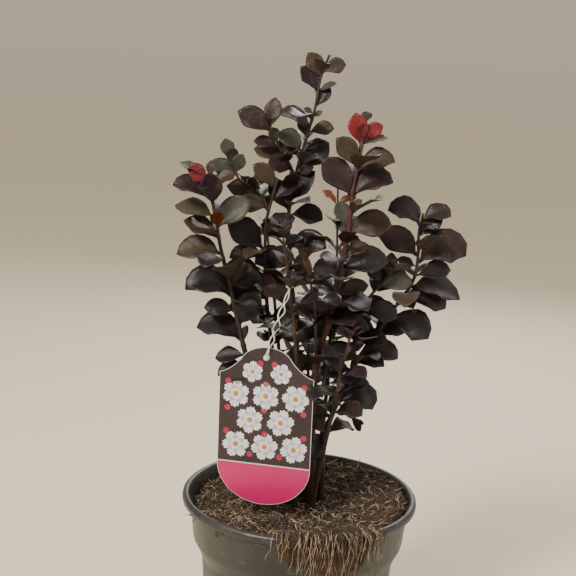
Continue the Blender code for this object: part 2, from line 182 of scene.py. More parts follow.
collar_r = 88.6 * MM
collar_foot_r = 85.6 * MM
body_r = 78.0 * MM
base_r = 71.5 * MM
outer = [
    (base_r - 2.0 * MM, 0.0),
    (base_r - 0.6 * MM, 0.6 * MM),
    (base_r, 2.2 * MM),
    (body_r, BODY_TOP - 1.0 * MM),
    (body_r + 0.5 * MM, BODY_TOP + 1.2 * MM),
    (body_r + 2.4 * MM, BODY_TOP + 5.0 * MM),
    (collar_foot_r - 2.2 * MM, COLLAR_FOOT - 4.5 * MM),
    (collar_foot_r - 0.5 * MM, COLLAR_FOOT - 1.2 * MM),
    (collar_foot_r, COLLAR_FOOT + 0.6 * MM),
    (collar_r - 0.1 * MM, POT_TOP - 8.5 * MM),
    (collar_r + 0.9 * MM, POT_TOP - 7.2 * MM),
    (RIM_R - 1.2 * MM, POT_TOP - 6.6 * MM),
    (RIM_R - 0.3 * MM, POT_TOP - 5.6 * MM),
    (RIM_R, POT_TOP - 3.6 * MM),
    (RIM_R - 0.4 * MM, POT_TOP - 1.6 * MM),
    (RIM_R - 1.6 * MM, POT_TOP - 0.3 * MM),
    (RIM_R - 3.0 * MM, POT_TOP),
    (RIM_R - 4.6 * MM, POT_TOP - 0.5 * MM),
    (RIM_R - 5.7 * MM, POT_TOP - 2.0 * MM),
]
inner = [
    (collar_r - 0.6 * MM - WALL, POT_TOP - 9.0 * MM),
    (collar_foot_r - WALL, COLLAR_FOOT),
    (collar_foot_r - 2.6 * MM - WALL, COLLAR_FOOT - 4.5 * MM),
    (body_r - WALL, BODY_TOP + 0.5 * MM),
    (base_r - WALL, 2.4 * MM),
    (base_r - 2.6 * MM - WALL, 1.2 * MM),
]
pot_wall = turn_profile("pot_wall", outer + inner, 144)

# The floor of the pot is flat, with a ring of round drain holes just inside the wall.
FLOOR_THICK = 2.4 * MM
DRAIN_COUNT = 8
DRAIN_R = 5.0 * MM
DRAIN_CIRCLE = 58.0 * MM
floor_curve = bpy.data.curves.new("pot_floor", "CURVE")
floor_curve.dimensions = "2D"
floor_curve.fill_mode = "BOTH"
floor_curve.extrude = FLOOR_THICK / 2


def add_ring(curve, centre, radius, count):
    """A closed round line in a flat curve."""
    spline = curve.splines.new("POLY")
    spline.points.add(count - 1)
    for i, point in enumerate(spline.points):
        turn = 2 * math.pi * i / count
        point.co = (centre[0] + radius * math.cos(turn), centre[1] + radius * math.sin(turn), 0.0, 1.0)
    spline.use_cyclic_u = True


def settle(made, place=Matrix.Identity(4)):
    """Turns a live object into a plain mesh of the same name with its place in the mesh."""
    bpy.context.view_layer.update()
    graph = bpy.context.evaluated_depsgraph_get()
    mesh = bpy.data.meshes.new_from_object(made.evaluated_get(graph))
    mesh.transform(place @ made.matrix_world)
    name = made.name
    bpy.data.objects.remove(made)
    bm = bmesh.new()
    bm.from_mesh(mesh)
    bmesh.ops.remove_doubles(bm, verts=bm.verts, dist=1e-6)
    bm.to_mesh(mesh)
    bm.free()
    mesh.name = name
    return linked(name, mesh)


add_ring(floor_curve, (0.0, 0.0), base_r - 3.4 * MM, 144)
for hole in range(DRAIN_COUNT):
    heading = 2 * math.pi * (hole + 0.5) / DRAIN_COUNT
    centre = (DRAIN_CIRCLE * math.cos(heading), DRAIN_CIRCLE * math.sin(heading))
    add_ring(floor_curve, centre, DRAIN_R, 24)
pot_floor = settle(linked("pot_floor", floor_curve), Matrix.Translation((0, 0, FLOOR_THICK / 2)))


def add_node(tree, kind, **values):
    """A node with its input sockets or settings given by name."""
    node = tree.nodes.new(kind)
    for key, value in values.items():
        label = key.replace("_", " ").title()
        if label in node.inputs:
            node.inputs[label].default_value = value
        else:
            setattr(node, key, value)
    return node


def spots(tree, scale, low, high, detail=4.0, stretch=(1, 1, 1)):
    """Noise in the piece's own coordinates, as a factor that rises from 0 at low to 1 at high."""
    where = tree.nodes.new("ShaderNodeTexCoord")
    shape = tree.nodes.new("ShaderNodeMapping")
    shape.inputs["Scale"].default_value = stretch
    grain = add_node(tree, "ShaderNodeTexNoise", scale=scale, detail=detail, roughness=0.6)
    ramp = add_node(tree, "ShaderNodeMapRange", from_min=low, from_max=high)
    tree.links.new(where.outputs["Object"], shape.inputs["Vector"])
    tree.links.new(shape.outputs["Vector"], grain.inputs["Vector"])
    tree.links.new(grain.outputs["Fac"], ramp.inputs["Value"])
    return ramp.outputs["Result"]


def blend_colours(tree, factor, first, second):
    """Two colours, or links to colours, mixed by a factor."""
    mix = tree.nodes.new("ShaderNodeMix")
    mix.data_type = "RGBA"
    tree.links.new(factor, mix.inputs["Factor"])
    for socket, value in ((mix.inputs["A"], first), (mix.inputs["B"], second)):
        if isinstance(value, tuple):
            socket.default_value = (*value, 1.0)
        else:
            tree.links.new(value, socket)
    return mix.outputs["Result"]


def add_bump(tree, shader, height, distance, strength=1.0, under=None):
    """Relief from a factor, laid over an earlier bump if there is one."""
    bump = add_node(tree, "ShaderNodeBump", distance=distance, strength=strength)
    tree.links.new(height, bump.inputs["Height"])
    if under:
        tree.links.new(under, bump.inputs["Normal"])
    tree.links.new(bump.outputs["Normal"], shader.inputs["Normal"])
    return bump.outputs["Normal"]


def link_range(tree, factor, low, high, socket):
    """Drives a shader input between two values."""
    ramp = add_node(tree, "ShaderNodeMapRange", to_min=low, to_max=high)
    tree.links.new(factor, ramp.inputs["Value"])
    tree.links.new(ramp.outputs["Result"], socket)


black_plastic, shader = plain_material("black_plastic", (0.02, 0.021, 0.022), 0.42)
tree = black_plastic.node_tree
dust = spots(tree, 22.0, 0.5, 0.72, detail=8.0, stretch=(1, 1, 0.5))
scuffs = spots(tree, 60.0, 0.62, 0.7, detail=6.0, stretch=(1, 1, 4.0))
colour = blend_colours(tree, dust, (0.016, 0.017, 0.018), (0.045, 0.044, 0.042))
colour = blend_colours(tree, scuffs, colour, (0.08, 0.078, 0.072))
tree.links.new(colour, shader.inputs["Base Color"])
link_range(tree, dust, 0.34, 0.6, shader.inputs["Roughness"])
grain = add_bump(tree, shader, spots(tree, 900.0, 0.3, 0.7), 0.00008)
add_bump(tree, shader, spots(tree, 35.0, 0.3, 0.7), 0.0004, under=grain)
for piece in (pot_wall, pot_floor):
    piece.data.materials.clear()
    piece.data.materials.append(black_plastic)
    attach(piece, "root")
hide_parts("pot")


# Root ball: damp black-brown peat bound by fine roots. It lies a finger's breadth under the rim on the
# left and is heaped up to the rim at the right.
SOIL_LEVEL = 140.0 * MM
SOIL_HEAP = 8.5 * MM
SOIL_DIP = 2.5 * MM
SOIL_LUMP = 3.2 * MM
SOIL_CLOD = 1.9 * MM
SOIL_CRUMB = 1.0 * MM
SOIL_R = collar_r - WALL - 1.2 * MM


def held(value):
    """A number held between 0 and 1."""
    return min(max(value, 0.0), 1.0)


def soil_height(x, y):
    """Height of the peat at a place: its lie, its lumps and its crumbs."""
    r = math.hypot(x, y)
    rise = SOIL_HEAP * held((x * 0.85 + abs(y) * 0.35 - 12 * MM) / (52 * MM))
    rise -= SOIL_DIP * held((-x - 20 * MM) / (50 * MM))
    at = Vector((x, y, 0.0))
    lumps = SOIL_LUMP * noise.noise(at / (21 * MM))
    lumps += SOIL_CLOD * noise.noise(at / (8 * MM) + Vector((5, 0, 0)))
    crumbs = SOIL_CRUMB * noise.noise(at / (3.1 * MM) + Vector((0, 9, 0)))
    foot = held((r - 9 * MM) / (12 * MM))
    return SOIL_LEVEL + rise * foot + (lumps + crumbs) * (0.25 + 0.75 * foot)


bm = bmesh.new()
RINGS, SPOKES = 66, 168
centre = bm.verts.new((0, 0, soil_height(0, 0)))
last = None
for ring in range(1, RINGS + 1):
    r = SOIL_R * ring / RINGS
    row = []
    for spoke in range(SPOKES):
        heading = 2 * math.pi * spoke / SPOKES
        x, y = r * math.cos(heading), r * math.sin(heading)
        row.append(bm.verts.new((x, y, soil_height(x, y))))
    for spoke in range(SPOKES):
        near = (spoke + 1) % SPOKES
        if last is None:
            bm.faces.new((centre, row[spoke], row[near]))
        else:
            bm.faces.new((last[spoke], row[spoke], row[near], last[near]))
    last = row
for radius, height in ((SOIL_R, 130 * MM), (collar_foot_r - WALL - 1 * MM, COLLAR_FOOT),
                       (body_r - WALL - 1 * MM, BODY_TOP), (base_r - WALL - 1 * MM, 3.2 * MM)):
    row = []
    for spoke in range(SPOKES):
        heading = 2 * math.pi * spoke / SPOKES
        row.append(bm.verts.new((radius * math.cos(heading), radius * math.sin(heading), height)))
    for spoke in range(SPOKES):
        near = (spoke + 1) % SPOKES
        bm.faces.new((last[spoke], row[spoke], row[near], last[near]))
    last = row
bm.faces.new(list(reversed(last)))
bmesh.ops.recalc_face_normals(bm, faces=bm.faces)
peat_ball = object_from(bm, "peat", smooth=True)

peat, shader = plain_material("peat", (0.03, 0.018, 0.01), 0.95)
tree = peat.node_tree
colour = blend_colours(tree, spots(tree, 160.0, 0.35, 0.65), (0.012, 0.007, 0.0045), (0.05, 0.03, 0.017))
rusty = spots(tree, 30.0, 0.5, 0.68)
colour = blend_colours(tree, rusty, colour, (0.085, 0.045, 0.02))
tree.links.new(colour, shader.inputs["Base Color"])
add_bump(tree, shader, spots(tree, 700.0, 0.2, 0.8, detail=6.0), 0.0012)
peat_ball.data.materials.append(peat)
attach(peat_ball, "root")
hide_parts("root_ball")


# Loose stuff on the peat: crumbs, bits of bark and dead rootlets, scattered by Geometry Nodes over the
# upper face of whatever they lie on.
def scatter_tree(name, shape_maker, finish):
    """A tree that scatters one small shape over a mesh. Its inputs set how many, how large, and the seed."""
    tree = bpy.data.node_groups.new(name, "GeometryNodeTree")
    face = tree.interface
    face.new_socket("Geometry", in_out="INPUT", socket_type="NodeSocketGeometry")
    for label, kind in (("Count Per Square Metre", "NodeSocketFloat"), ("Smallest", "NodeSocketFloat"),
                        ("Largest", "NodeSocketFloat"), ("Seed", "NodeSocketInt"),
                        ("Unevenness", "NodeSocketFloat")):
        face.new_socket(label, in_out="INPUT", socket_type=kind)
    face.new_socket("Geometry", in_out="OUTPUT", socket_type="NodeSocketGeometry")
    given = tree.nodes.new("NodeGroupInput")
    result = tree.nodes.new("NodeGroupOutput")
    link = tree.links.new
    points = tree.nodes.new("GeometryNodeDistributePointsOnFaces")
    link(given.outputs["Geometry"], points.inputs["Mesh"])
    link(given.outputs["Count Per Square Metre"], points.inputs["Density"])
    link(given.outputs["Seed"], points.inputs["Seed"])
    size = tree.nodes.new("FunctionNodeRandomValue")
    link(given.outputs["Smallest"], size.inputs[2])
    link(given.outputs["Largest"], size.inputs[3])
    link(given.outputs["Seed"], size.inputs["Seed"])
    turn = add_node(tree, "FunctionNodeRandomValue", data_type="FLOAT_VECTOR")
    turn.inputs[0].default_value = (-0.5, -0.5, 0.0)
    turn.inputs[1].default_value = (0.5, 0.5, 2 * math.pi)
    link(given.outputs["Seed"], turn.inputs["Seed"])
    instances = tree.nodes.new("GeometryNodeInstanceOnPoints")
    link(points.outputs["Points"], instances.inputs["Points"])
    link(shape_maker(tree), instances.inputs["Instance"])
    link(turn.outputs[0], instances.inputs["Rotation"])
    link(size.outputs[1], instances.inputs["Scale"])
    real = tree.nodes.new("GeometryNodeRealizeInstances")
    link(instances.outputs["Instances"], real.inputs["Geometry"])
    place = tree.nodes.new("GeometryNodeInputPosition")
    wave = add_node(tree, "ShaderNodeTexNoise", scale=240.0)
    link(place.outputs["Position"], wave.inputs["Vector"])
    centred = add_node(tree, "ShaderNodeVectorMath", operation="SUBTRACT")
    link(wave.outputs["Color"], centred.inputs[0])
    centred.inputs[1].default_value = (0.5, 0.5, 0.5)
    scaled = add_node(tree, "ShaderNodeVectorMath", operation="SCALE")
    link(centred.outputs["Vector"], scaled.inputs[0])
    link(given.outputs["Unevenness"], scaled.inputs["Scale"])
    bent = tree.nodes.new("GeometryNodeSetPosition")
    link(real.outputs["Geometry"], bent.inputs["Geometry"])
    link(scaled.outputs["Vector"], bent.inputs["Offset"])
    smooth = tree.nodes.new("GeometryNodeSetShadeSmooth")
    link(bent.outputs["Geometry"], smooth.inputs["Geometry"])
    paint = add_node(tree, "GeometryNodeSetMaterial", material=finish)
    link(smooth.outputs["Geometry"], paint.inputs["Geometry"])
    link(paint.outputs["Geometry"], result.inputs["Geometry"])
    return tree


def crumb_shape(tree):
    """A lump of peat one unit across."""
    ball = add_node(tree, "GeometryNodeMeshIcoSphere", radius=0.5, subdivisions=2)
    squash = add_node(tree, "GeometryNodeTransform", scale=(1.0, 0.75, 0.6))
    tree.links.new(ball.outputs["Mesh"], squash.inputs["Geometry"])
    return squash.outputs["Geometry"]


def strand_shape(tree):
    """A thin rootlet one unit long, lying along X."""
    line = add_node(tree, "GeometryNodeCurvePrimitiveLine", start=(-0.5, 0.0, 0.02), end=(0.5, 0.0, 0.06))
    steps = add_node(tree, "GeometryNodeResampleCurve", count=9)
    tree.links.new(line.outputs["Curve"], steps.inputs["Curve"])
    ring = add_node(tree, "GeometryNodeCurvePrimitiveCircle", resolution=4, radius=0.017)
    tube = add_node(tree, "GeometryNodeCurveToMesh", fill_caps=True)
    tree.links.new(steps.outputs["Curve"], tube.inputs["Curve"])
    tree.links.new(ring.outputs["Curve"], tube.inputs["Profile Curve"])
    return tube.outputs["Mesh"]


def scatter(name, ground, nodes, count, smallest, largest, seed, unevenness, slot):
    """Runs a scatter tree over the upper faces of a piece, as a piece of its own. Sizes are in mm."""
    bm = bmesh.new()
    bm.from_mesh(ground.data)
    bmesh.ops.delete(bm, geom=[f for f in bm.faces if f.normal.z < 0.2], context="FACES")
    made = object_from(bm, name)
    live = made.modifiers.new("scatter", "NODES")
    live.node_group = nodes
    wanted = {"Count Per Square Metre": float(count), "Smallest": smallest * MM, "Largest": largest * MM,
              "Seed": seed, "Unevenness": unevenness * MM}
    for item in nodes.interface.items_tree:
        if item.name in wanted and item.in_out == "INPUT":
            live[item.identifier] = wanted[item.name]
    made = settle(made)
    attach(made, "root")
    return made


def dull_material(name, dark, light, scale):
    """A matt earthy finish that varies between two colours."""
    made, shader = plain_material(name, dark, 0.93)
    tree = made.node_tree
    colour = blend_colours(tree, spots(tree, scale, 0.38, 0.62), dark, light)
    tree.links.new(colour, shader.inputs["Base Color"])
    return made


crumb_dark = dull_material("crumb_dark", (0.014, 0.008, 0.005), (0.06, 0.036, 0.02), 300.0)
crumb_rust = dull_material("crumb_rust", (0.06, 0.03, 0.014), (0.19, 0.1, 0.045), 260.0)
rootlet_pale = dull_material("rootlet_pale", (0.16, 0.11, 0.07), (0.4, 0.31, 0.21), 200.0)
rootlet_dark = dull_material("rootlet_dark", (0.03, 0.018, 0.011), (0.1, 0.06, 0.035), 200.0)

# Name, shape, finish, how many to the square metre, smallest, largest, seed, unevenness and slot.
STREWN = (
    ("peat_crumbs", crumb_shape, crumb_dark, 70000, 0.9, 4.2, 3, 2.4, "peat"),
    ("peat_rusty_crumbs", crumb_shape, crumb_rust, 16000, 0.7, 3.0, 8, 2.0, "peat"),
    ("peat_rootlets", strand_shape, rootlet_pale, 26000, 5, 20, 5, 6.5, "root_fibre"),
    ("peat_dark_rootlets", strand_shape, rootlet_dark, 38000, 6, 22, 11, 7.0, "root_fibre"),
)
for name, shape, finish, *sizes in STREWN:
    scatter(name, peat_ball, scatter_tree("scatter_" + name, shape, finish), *sizes)


# Root mat: roots and peat that have slipped over the rim at the front right. It lies on the peat,
# laps the lip and hangs down the collar, with bare rootlets trailing from its torn edge.
def finely_copied(node, cuts):
    """A merged and subdivided copy of a CAD node's mesh, as a bmesh."""
    bm = bmesh.new()
    bm.from_mesh(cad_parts[node].data)
    bmesh.ops.remove_doubles(bm, verts=bm.verts, dist=1e-6)
    for _ in range(cuts):
        bmesh.ops.subdivide_edges(bm, edges=bm.edges, cuts=1, use_grid_fill=True, smooth=0.0)
        bmesh.ops.triangulate(bm, faces=bm.faces)
    return bm


MAT_LUMP = 1.28 * MM
MAT_CRUMB = 0.88 * MM
MAT_SAG = 5 * MM
MAT_HANG = 30 * MM  # how far under the rim the sagging is full

bm = finely_copied("root_mat", 3)
bm.normal_update()
for vertex in bm.verts:
    at = vertex.co
    lump = MAT_LUMP * noise.noise(at / (7 * MM)) + MAT_CRUMB * noise.noise(at / (2.6 * MM))
    sag = MAT_SAG * held((POT_TOP - at.z) / MAT_HANG) * noise.noise(at / (9 * MM))
    vertex.co = at + vertex.normal * lump + Vector((0, 0, sag))
root_mat = object_from(bm, "root_mat_peat", smooth=True)
root_mat.data.materials.append(peat)
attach(root_mat, "root")
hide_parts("root_mat")


def tube(bm, centres, radii, sides, material_index=0):
    """Adds a round tube through the centres to a bmesh, with a radius at each."""
    ways = [(centres[min(i + 1, len(centres) - 1)] - centres[max(i - 1, 0)]).normalized()
            for i in range(len(centres))]
    across = ways[0].orthogonal().normalized()
    rings = []
    for centre, way, radius in zip(centres, ways, radii):
        across = (across - way * across.dot(way)).normalized()
        beside = way.cross(across)
        rings.append([
            bm.verts.new(centre + (across * math.cos(t) + beside * math.sin(t)) * radius)
            for t in (2 * math.pi * k / sides for k in range(sides))
        ])
    for near, far in zip(rings, rings[1:]):
        for k in range(sides):
            face = bm.faces.new((near[k], near[(k + 1) % sides], far[(k + 1) % sides], far[k]))
            face.material_index = material_index
            face.smooth = True
    for ring in (list(reversed(rings[0])), rings[-1]):
        bm.faces.new(ring).material_index = material_index


def mesh_piece(bm, name, materials):
    """A finished piece from a bmesh, riding on the pot."""
    made = object_from(bm, name)
    for finish in materials:
        made.data.materials.append(finish)
    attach(made, "root")
    return made


ROOTLETS = 150
ROOTLETS_FROM, ROOTLETS_TO = -100, -50  # headings in degrees
ROOTLET_STEPS = 9
ROOTLET_OUT = 101 * MM  # where they hang, just clear of the lip
LONG_SHARE = 0.16
PALE_SHARE = 0.45

dice = random.Random(41)
bm = bmesh.new()
for strand in range(ROOTLETS):
    degrees = dice.uniform(ROOTLETS_FROM, ROOTLETS_TO)
    heading = math.radians(degrees)
    share = (degrees - ROOTLETS_FROM) / (ROOTLETS_TO - ROOTLETS_FROM)
    start_r = dice.uniform(88, 97) * MM
    drop = dice.uniform(6, 30) * math.sin(math.pi * min(max(share, 0.08), 0.92)) ** 0.5
    drop *= 1.9 if dice.random() < LONG_SHARE else 1.0
    at = Vector((start_r * math.cos(heading), start_r * math.sin(heading), POT_TOP + dice.uniform(1, 5) * MM))
    centres = [at]
    side = Vector((-math.sin(heading), math.cos(heading), 0))
    out = Vector((math.cos(heading), math.sin(heading), 0))
    sway = dice.uniform(-0.5, 0.5)
    for step in range(1, ROOTLET_STEPS + 1):
        q = step / ROOTLET_STEPS
        over = out * max(0.0, (ROOTLET_OUT - start_r)) * min(q * 4, 1.0)
        down = Vector((0, 0, -drop * MM * max(0.0, q - 0.12) * 1.5))
        wander = side * sway * drop * MM * q
        wander += side * 2.2 * MM * noise.noise(Vector((strand * 3.1, q * 3, 0)))
        wander += out * 1.8 * MM * noise.noise(Vector((strand * 1.7, 7, q * 3)))
        centres.append(at + over + down + wander)
    thick = dice.uniform(0.16, 0.42) * MM
    radii = [thick * (1.0 - 0.55 * i / ROOTLET_STEPS) for i in range(ROOTLET_STEPS + 1)]
    tube(bm, centres, radii, 5, 0 if dice.random() < PALE_SHARE else 1)
mesh_piece(bm, "hanging_rootlets", [rootlet_pale, rootlet_dark])


# Stems: young shoots from one root, dark red on the thickest, olive-brown in front and black-brown on
# the rest. They are round with fine ridges, flare at the peat and swell at even steps, as at leaf nodes.
# A path is in millimetres, and leaves_from is the height above which the leaf rule works.
SHOOTS = {
    "left": dict(
        path=[(-9, -2, 139), (-17, -4, 185), (-33, -8, 227), (-45, -10, 258), (-55, -10, 294),
              (-62, -10, 322), (-69, -10, 347), (-74, -10, 372), (-78, -10, 390), (-80, -10, 403)],
        base=3.2, tip=1.1, leaves_from=205, bark="brown", spread=1.0, first_turn=8),
    "tall": dict(
        path=[(2, 9, 139), (1, 9, 190), (-4, 12, 240), (-10, 14, 289), (-16, 14, 338), (-18.5, 14, 369),
              (-16.5, 14, 393), (-11, 14, 419), (-5, 14, 442), (-1, 14, 459), (2, 14, 481), (8, 14, 498)],
        base=3.0, tip=0.9, leaves_from=220, bark="brown", spread=0.86, first_turn=35),
    "top_left": dict(
        path=[(-15, 14, 404), (-20.6, 14, 415), (-27, 12, 425), (-31, 10, 433), (-36, 8, 441),
              (-41, 6, 452)],
        base=1.5, tip=0.9, leaves_from=412, bark="brown", spread=0.9, first_turn=70),
    "centre_left": dict(
        path=[(-8, 8, 139), (-14, 10, 198), (-27, 12, 264), (-34, 10, 313), (-35.7, 6, 346), (-35, 4, 371),
              (-31.6, 4, 386), (-28, 4, 402)],
        base=2.6, tip=1.0, leaves_from=215, bark="brown", spread=0.95, first_turn=0),
    "upper_left": dict(
        path=[(-34, 4, 376), (-39, 4, 387), (-49, 4, 396), (-57, 4, 400), (-62, 4, 408), (-65, 4, 418)],
        base=1.3, tip=0.8, leaves_from=386, bark="brown", spread=0.8, first_turn=40),
    "middle": dict(
        path=[(8, -1, 139), (8.7, -4, 186), (7, -8, 221), (8, -12, 251), (11.6, -15, 276), (17.5, -18, 296),
              (22, -20, 317), (24, -20, 342), (27, -20, 358), (29.3, -18, 382), (30, -16, 398),
              (33, -14, 417), (35, -12, 432), (37, -10, 448)],
        base=3.6, tip=1.4, leaves_from=240, bark="red", spread=1.0, first_turn=18),
    "right": dict(
        path=[(18, 4, 139), (17, 2, 194), (22, 0, 211), (29, 0, 232), (33, 0, 246), (39, 0, 257),
              (45, 0, 268), (52, 0, 279), (60, 0, 291), (65, 0, 300), (71, 0, 310), (79, 0, 322),
              (83, 0, 334), (84, 0, 350), (83.5, 0, 366), (86, 0, 381)],
        base=2.9, tip=1.0, leaves_from=225, bark="brown", spread=1.0, first_turn=10),
    "inner_right": dict(
        path=[(37, 0, 256), (39.4, -4, 275), (40, -6, 284), (42.4, -9, 302), (46, -10, 313), (54, -10, 323),
              (64, -10, 335)],
        base=1.5, tip=0.8, leaves_from=268, bark="brown", spread=0.72, first_turn=60),
    "low_right": dict(
        path=[(28, 0, 229), (30, -3, 224), (34, -7, 219), (38, -10, 217)],
        base=1.1, tip=0.8, leaves_from=100, bark="brown", spread=0.8, first_turn=20),
    "front": dict(
        path=[(-3, -10, 139), (-4, -17, 195), (-6, -25, 252), (-10, -32, 295), (-14, -38, 325),
              (-20, -45, 362)],
        base=2.2, tip=0.9, leaves_from=285, bark="olive", spread=0.8, first_turn=50),
    "front_middle": dict(
        path=[(7, -8, 226), (8, -17, 262), (6, -26, 300), (3, -31, 322), (-2, -35, 338), (-7, -38, 352)],
        base=1.6, tip=0.8, leaves_from=290, bark="olive", spread=0.8, first_turn=15),
    "front_right": dict(
        path=[(10, -13, 139), (16, -19, 180), (22, -29, 222), (27, -40, 260), (32, -54, 292)],
        base=2.0, tip=0.9, leaves_from=205, bark="olive", spread=0.8, first_turn=30),
    "inner": dict(
        path=[(14, -8, 232), (19, -3, 280), (21, 1, 330), (20, 3, 372), (19, 4, 400)],
        base=1.5, tip=0.8, leaves_from=262, bark="olive", spread=0.72, first_turn=75),
    "back_left": dict(
        path=[(-9, 17, 139), (-15, 28, 195), (-22, 42, 252), (-30, 56, 308), (-38, 69, 356)],
        base=2.4, tip=1.0, leaves_from=205, bark="brown", spread=0.95, first_turn=5),
    "back_right": dict(
        path=[(13, 15, 139), (17, 27, 195), (21, 40, 252), (27, 54, 306), (32, 66, 352)],
        base=2.4, tip=1.0, leaves_from=205, bark="brown", spread=0.95, first_turn=45),
    "back": dict(
        path=[(2, 20, 139), (3, 35, 180), (3, 54, 228), (2, 72, 270), (2, 86, 308)],
        base=2.0, tip=0.9, leaves_from=190, bark="brown", spread=0.85, first_turn=25),
}
NODE_SPACING = 17.5
STEM_FOOT = 139  # the height in the peat at which a stem's path starts

# Two tints in fine stripes, and roughness.
BARKS = {
    "brown": ((0.012, 0.006, 0.006), (0.036, 0.015, 0.011), 0.55),
    "red": ((0.03, 0.005, 0.006), (0.085, 0.013, 0.012), 0.45),
    "olive": ((0.022, 0.011, 0.007), (0.07, 0.035, 0.018), 0.55),
}
bark_kinds = {}
for kind, (dark, light, roughness) in BARKS.items():
    bark_kinds[kind], shader = plain_material("bark_" + kind, light, roughness)
    tree = bark_kinds[kind].node_tree
    ridges = spots(tree, 900.0, 0.35, 0.65, stretch=(1, 1, 0.06))
    colour = blend_colours(tree, ridges, dark, light)
    lenticels = spots(tree, 500.0, 0.68, 0.74, stretch=(1, 1, 0.5))
    colour = blend_colours(tree, lenticels, colour, (0.2, 0.13, 0.09))
    tree.links.new(colour, shader.inputs["Base Color"])
    add_bump(tree, shader, ridges, 0.0004)


def eased(points, steps):
    """A smooth line through the points, with so many steps between one and the next."""
    pts = [Vector(p) for p in points]
    out = []
    for i in range(len(pts) - 1):
        before = pts[max(i - 1, 0)]
        a, b = pts[i], pts[i + 1]
        after = pts[min(i + 2, len(pts) - 1)]
        for k in range(steps):
            t = k / steps
            out.append(
                0.5 * ((2 * a) + (b - before) * t + (2 * before - 5 * a + 4 * b - after) * t * t
                       + (3 * a - before - 3 * b + after) * t**3)
            )
    out.append(pts[-1])
    return out


shoot_lines = {}
for name, shoot in SHOOTS.items():
    line = [p * MM for p in eased(shoot["path"], 6)]
    lengths = [0.0]
    for a, b in zip(line, line[1:]):
        lengths.append(lengths[-1] + (b - a).length)
    shoot_lines[name] = (line, lengths)


def at_length(name, length):
    """A point and the way on at a length along a shoot, both smooth."""
    line, lengths = shoot_lines[name]
    i = max(min(int(np.searchsorted(lengths, length)) - 1, len(line) - 2), 0)
    span = lengths[i + 1] - lengths[i]
    q = held((length - lengths[i]) / span)
    way = (line[min(i + 2, len(line) - 1)] - line[max(i - 1, 0)]).normalized()
    return line[i].lerp(line[i + 1], q), way


def length_at(name, height):
    """The length along a shoot at which it first reaches a height, or else its whole length."""
    line, lengths = shoot_lines[name]
    return next((n for p, n in zip(line, lengths) if p.z >= height), lengths[-1])


for kind, finish in bark_kinds.items():
    bm = bmesh.new()
    for name, shoot in SHOOTS.items():
        if shoot["bark"] != kind:
            continue
        total = shoot_lines[name][1][-1]
        start = length_at(name, shoot["leaves_from"] * MM)
        count = int(total / (2.2 * MM))
        centres, radii = [], []
        for i in range(count + 1):
            length = total * i / count
            centres.append(at_length(name, length)[0])
            radius = shoot["base"] + (shoot["tip"] - shoot["base"]) * (i / count) ** 0.8
            if shoot["path"][0][2] == STEM_FOOT:
                radius *= 1.0 + 0.35 * math.exp(-length / (7 * MM))
            phase = (length - start) / (NODE_SPACING * MM)
            if length > start - 30 * MM:
                near = abs(phase - round(phase)) * NODE_SPACING
                radius *= 1.0 + 0.22 * math.exp(-(near / 1.8) ** 2)
            radius *= 1.0 + 0.05 * noise.noise(centres[-1] / (6 * MM))
            radii.append(radius * MM)
        tube(bm, centres, radii, 12)
    piece = mesh_piece(bm, "stems_" + kind, [finish])
    if kind == "brown":
        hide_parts("stem_left", "stem_left_upper", "stem_tall", "stem_centre_left", "stem_right",
                    "branch_inner_right", "stem_back_left", "stem_back_right", "stem_back")
    elif kind == "red":
        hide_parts("stem_middle", "stem_middle_upper")
    else:
        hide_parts("stem_front", "stem_front_right")


# Leaves: short-stalked, leathery and glossy, black-purple above and brown below. They fold along the
# midrib and arch over, the old ones most, and the young tips are crimson. Some tops have a grey tint,
# which is painted sheen: it stands in for light glancing off the gloss.
LEAF_ALONG = 9
LEAF_ACROSS = 3  # on each side of the midrib
LEAF_THICK = 0.28 * MM
LEAF_LENGTH = 36.0
LEAF_SHAPE = 0.64  # width as a share of length
STALK = 0.06  # as a share of length
STALK_HALF = 0.035  # half its width, as a share of the leaf's width
TIP_HALF = 0.015
FOREMOST = Vector((0.0, -0.95, 0.3))  # towards the front and a little up
UP = Vector((0, 0, 1))
YOUNG_LENGTH = 42 * MM  # from a shoot's tip down to where its leaves are full-grown
TIP_LEAVES = 3


def leaf_material(name, colour, second, roughness, vein):
    """A glossy leaf face: two close tints in patches, fine veins in relief."""
    made, shader = plain_material(name, colour, roughness)
    tree = made.node_tree
    tint = blend_colours(tree, spots(tree, 70.0, 0.35, 0.65), colour, second)
    where = tree.nodes.new("ShaderNodeUVMap")
    where.uv_map = "blade"
    ribs = add_node(tree, "ShaderNodeTexWave", scale=1.9, distortion=0.6, detail=1.0)
    tree.links.new(where.outputs["UV"], ribs.inputs["Vector"])
    sharp = add_node(tree, "ShaderNodeMapRange", from_min=0.86, from_max=1.0)
    tree.links.new(ribs.outputs["Fac"], sharp.inputs["Value"])
    tint = blend_colours(tree, sharp.outputs["Result"], tint, vein)
    tree.links.new(tint, shader.inputs["Base Color"])
    under = add_bump(tree, shader, sharp.outputs["Result"], 0.00035, 0.8)
    add_bump(tree, shader, spots(tree, 260.0, 0.3, 0.7), 0.0005, 0.5, under=under)
    link_range(tree, spots(tree, 45.0, 0.3, 0.7), roughness - 0.06, roughness + 0.1,
               shader.inputs["Roughness"])
    shader.inputs["Specular IOR Level"].default_value = 0.38
    return made


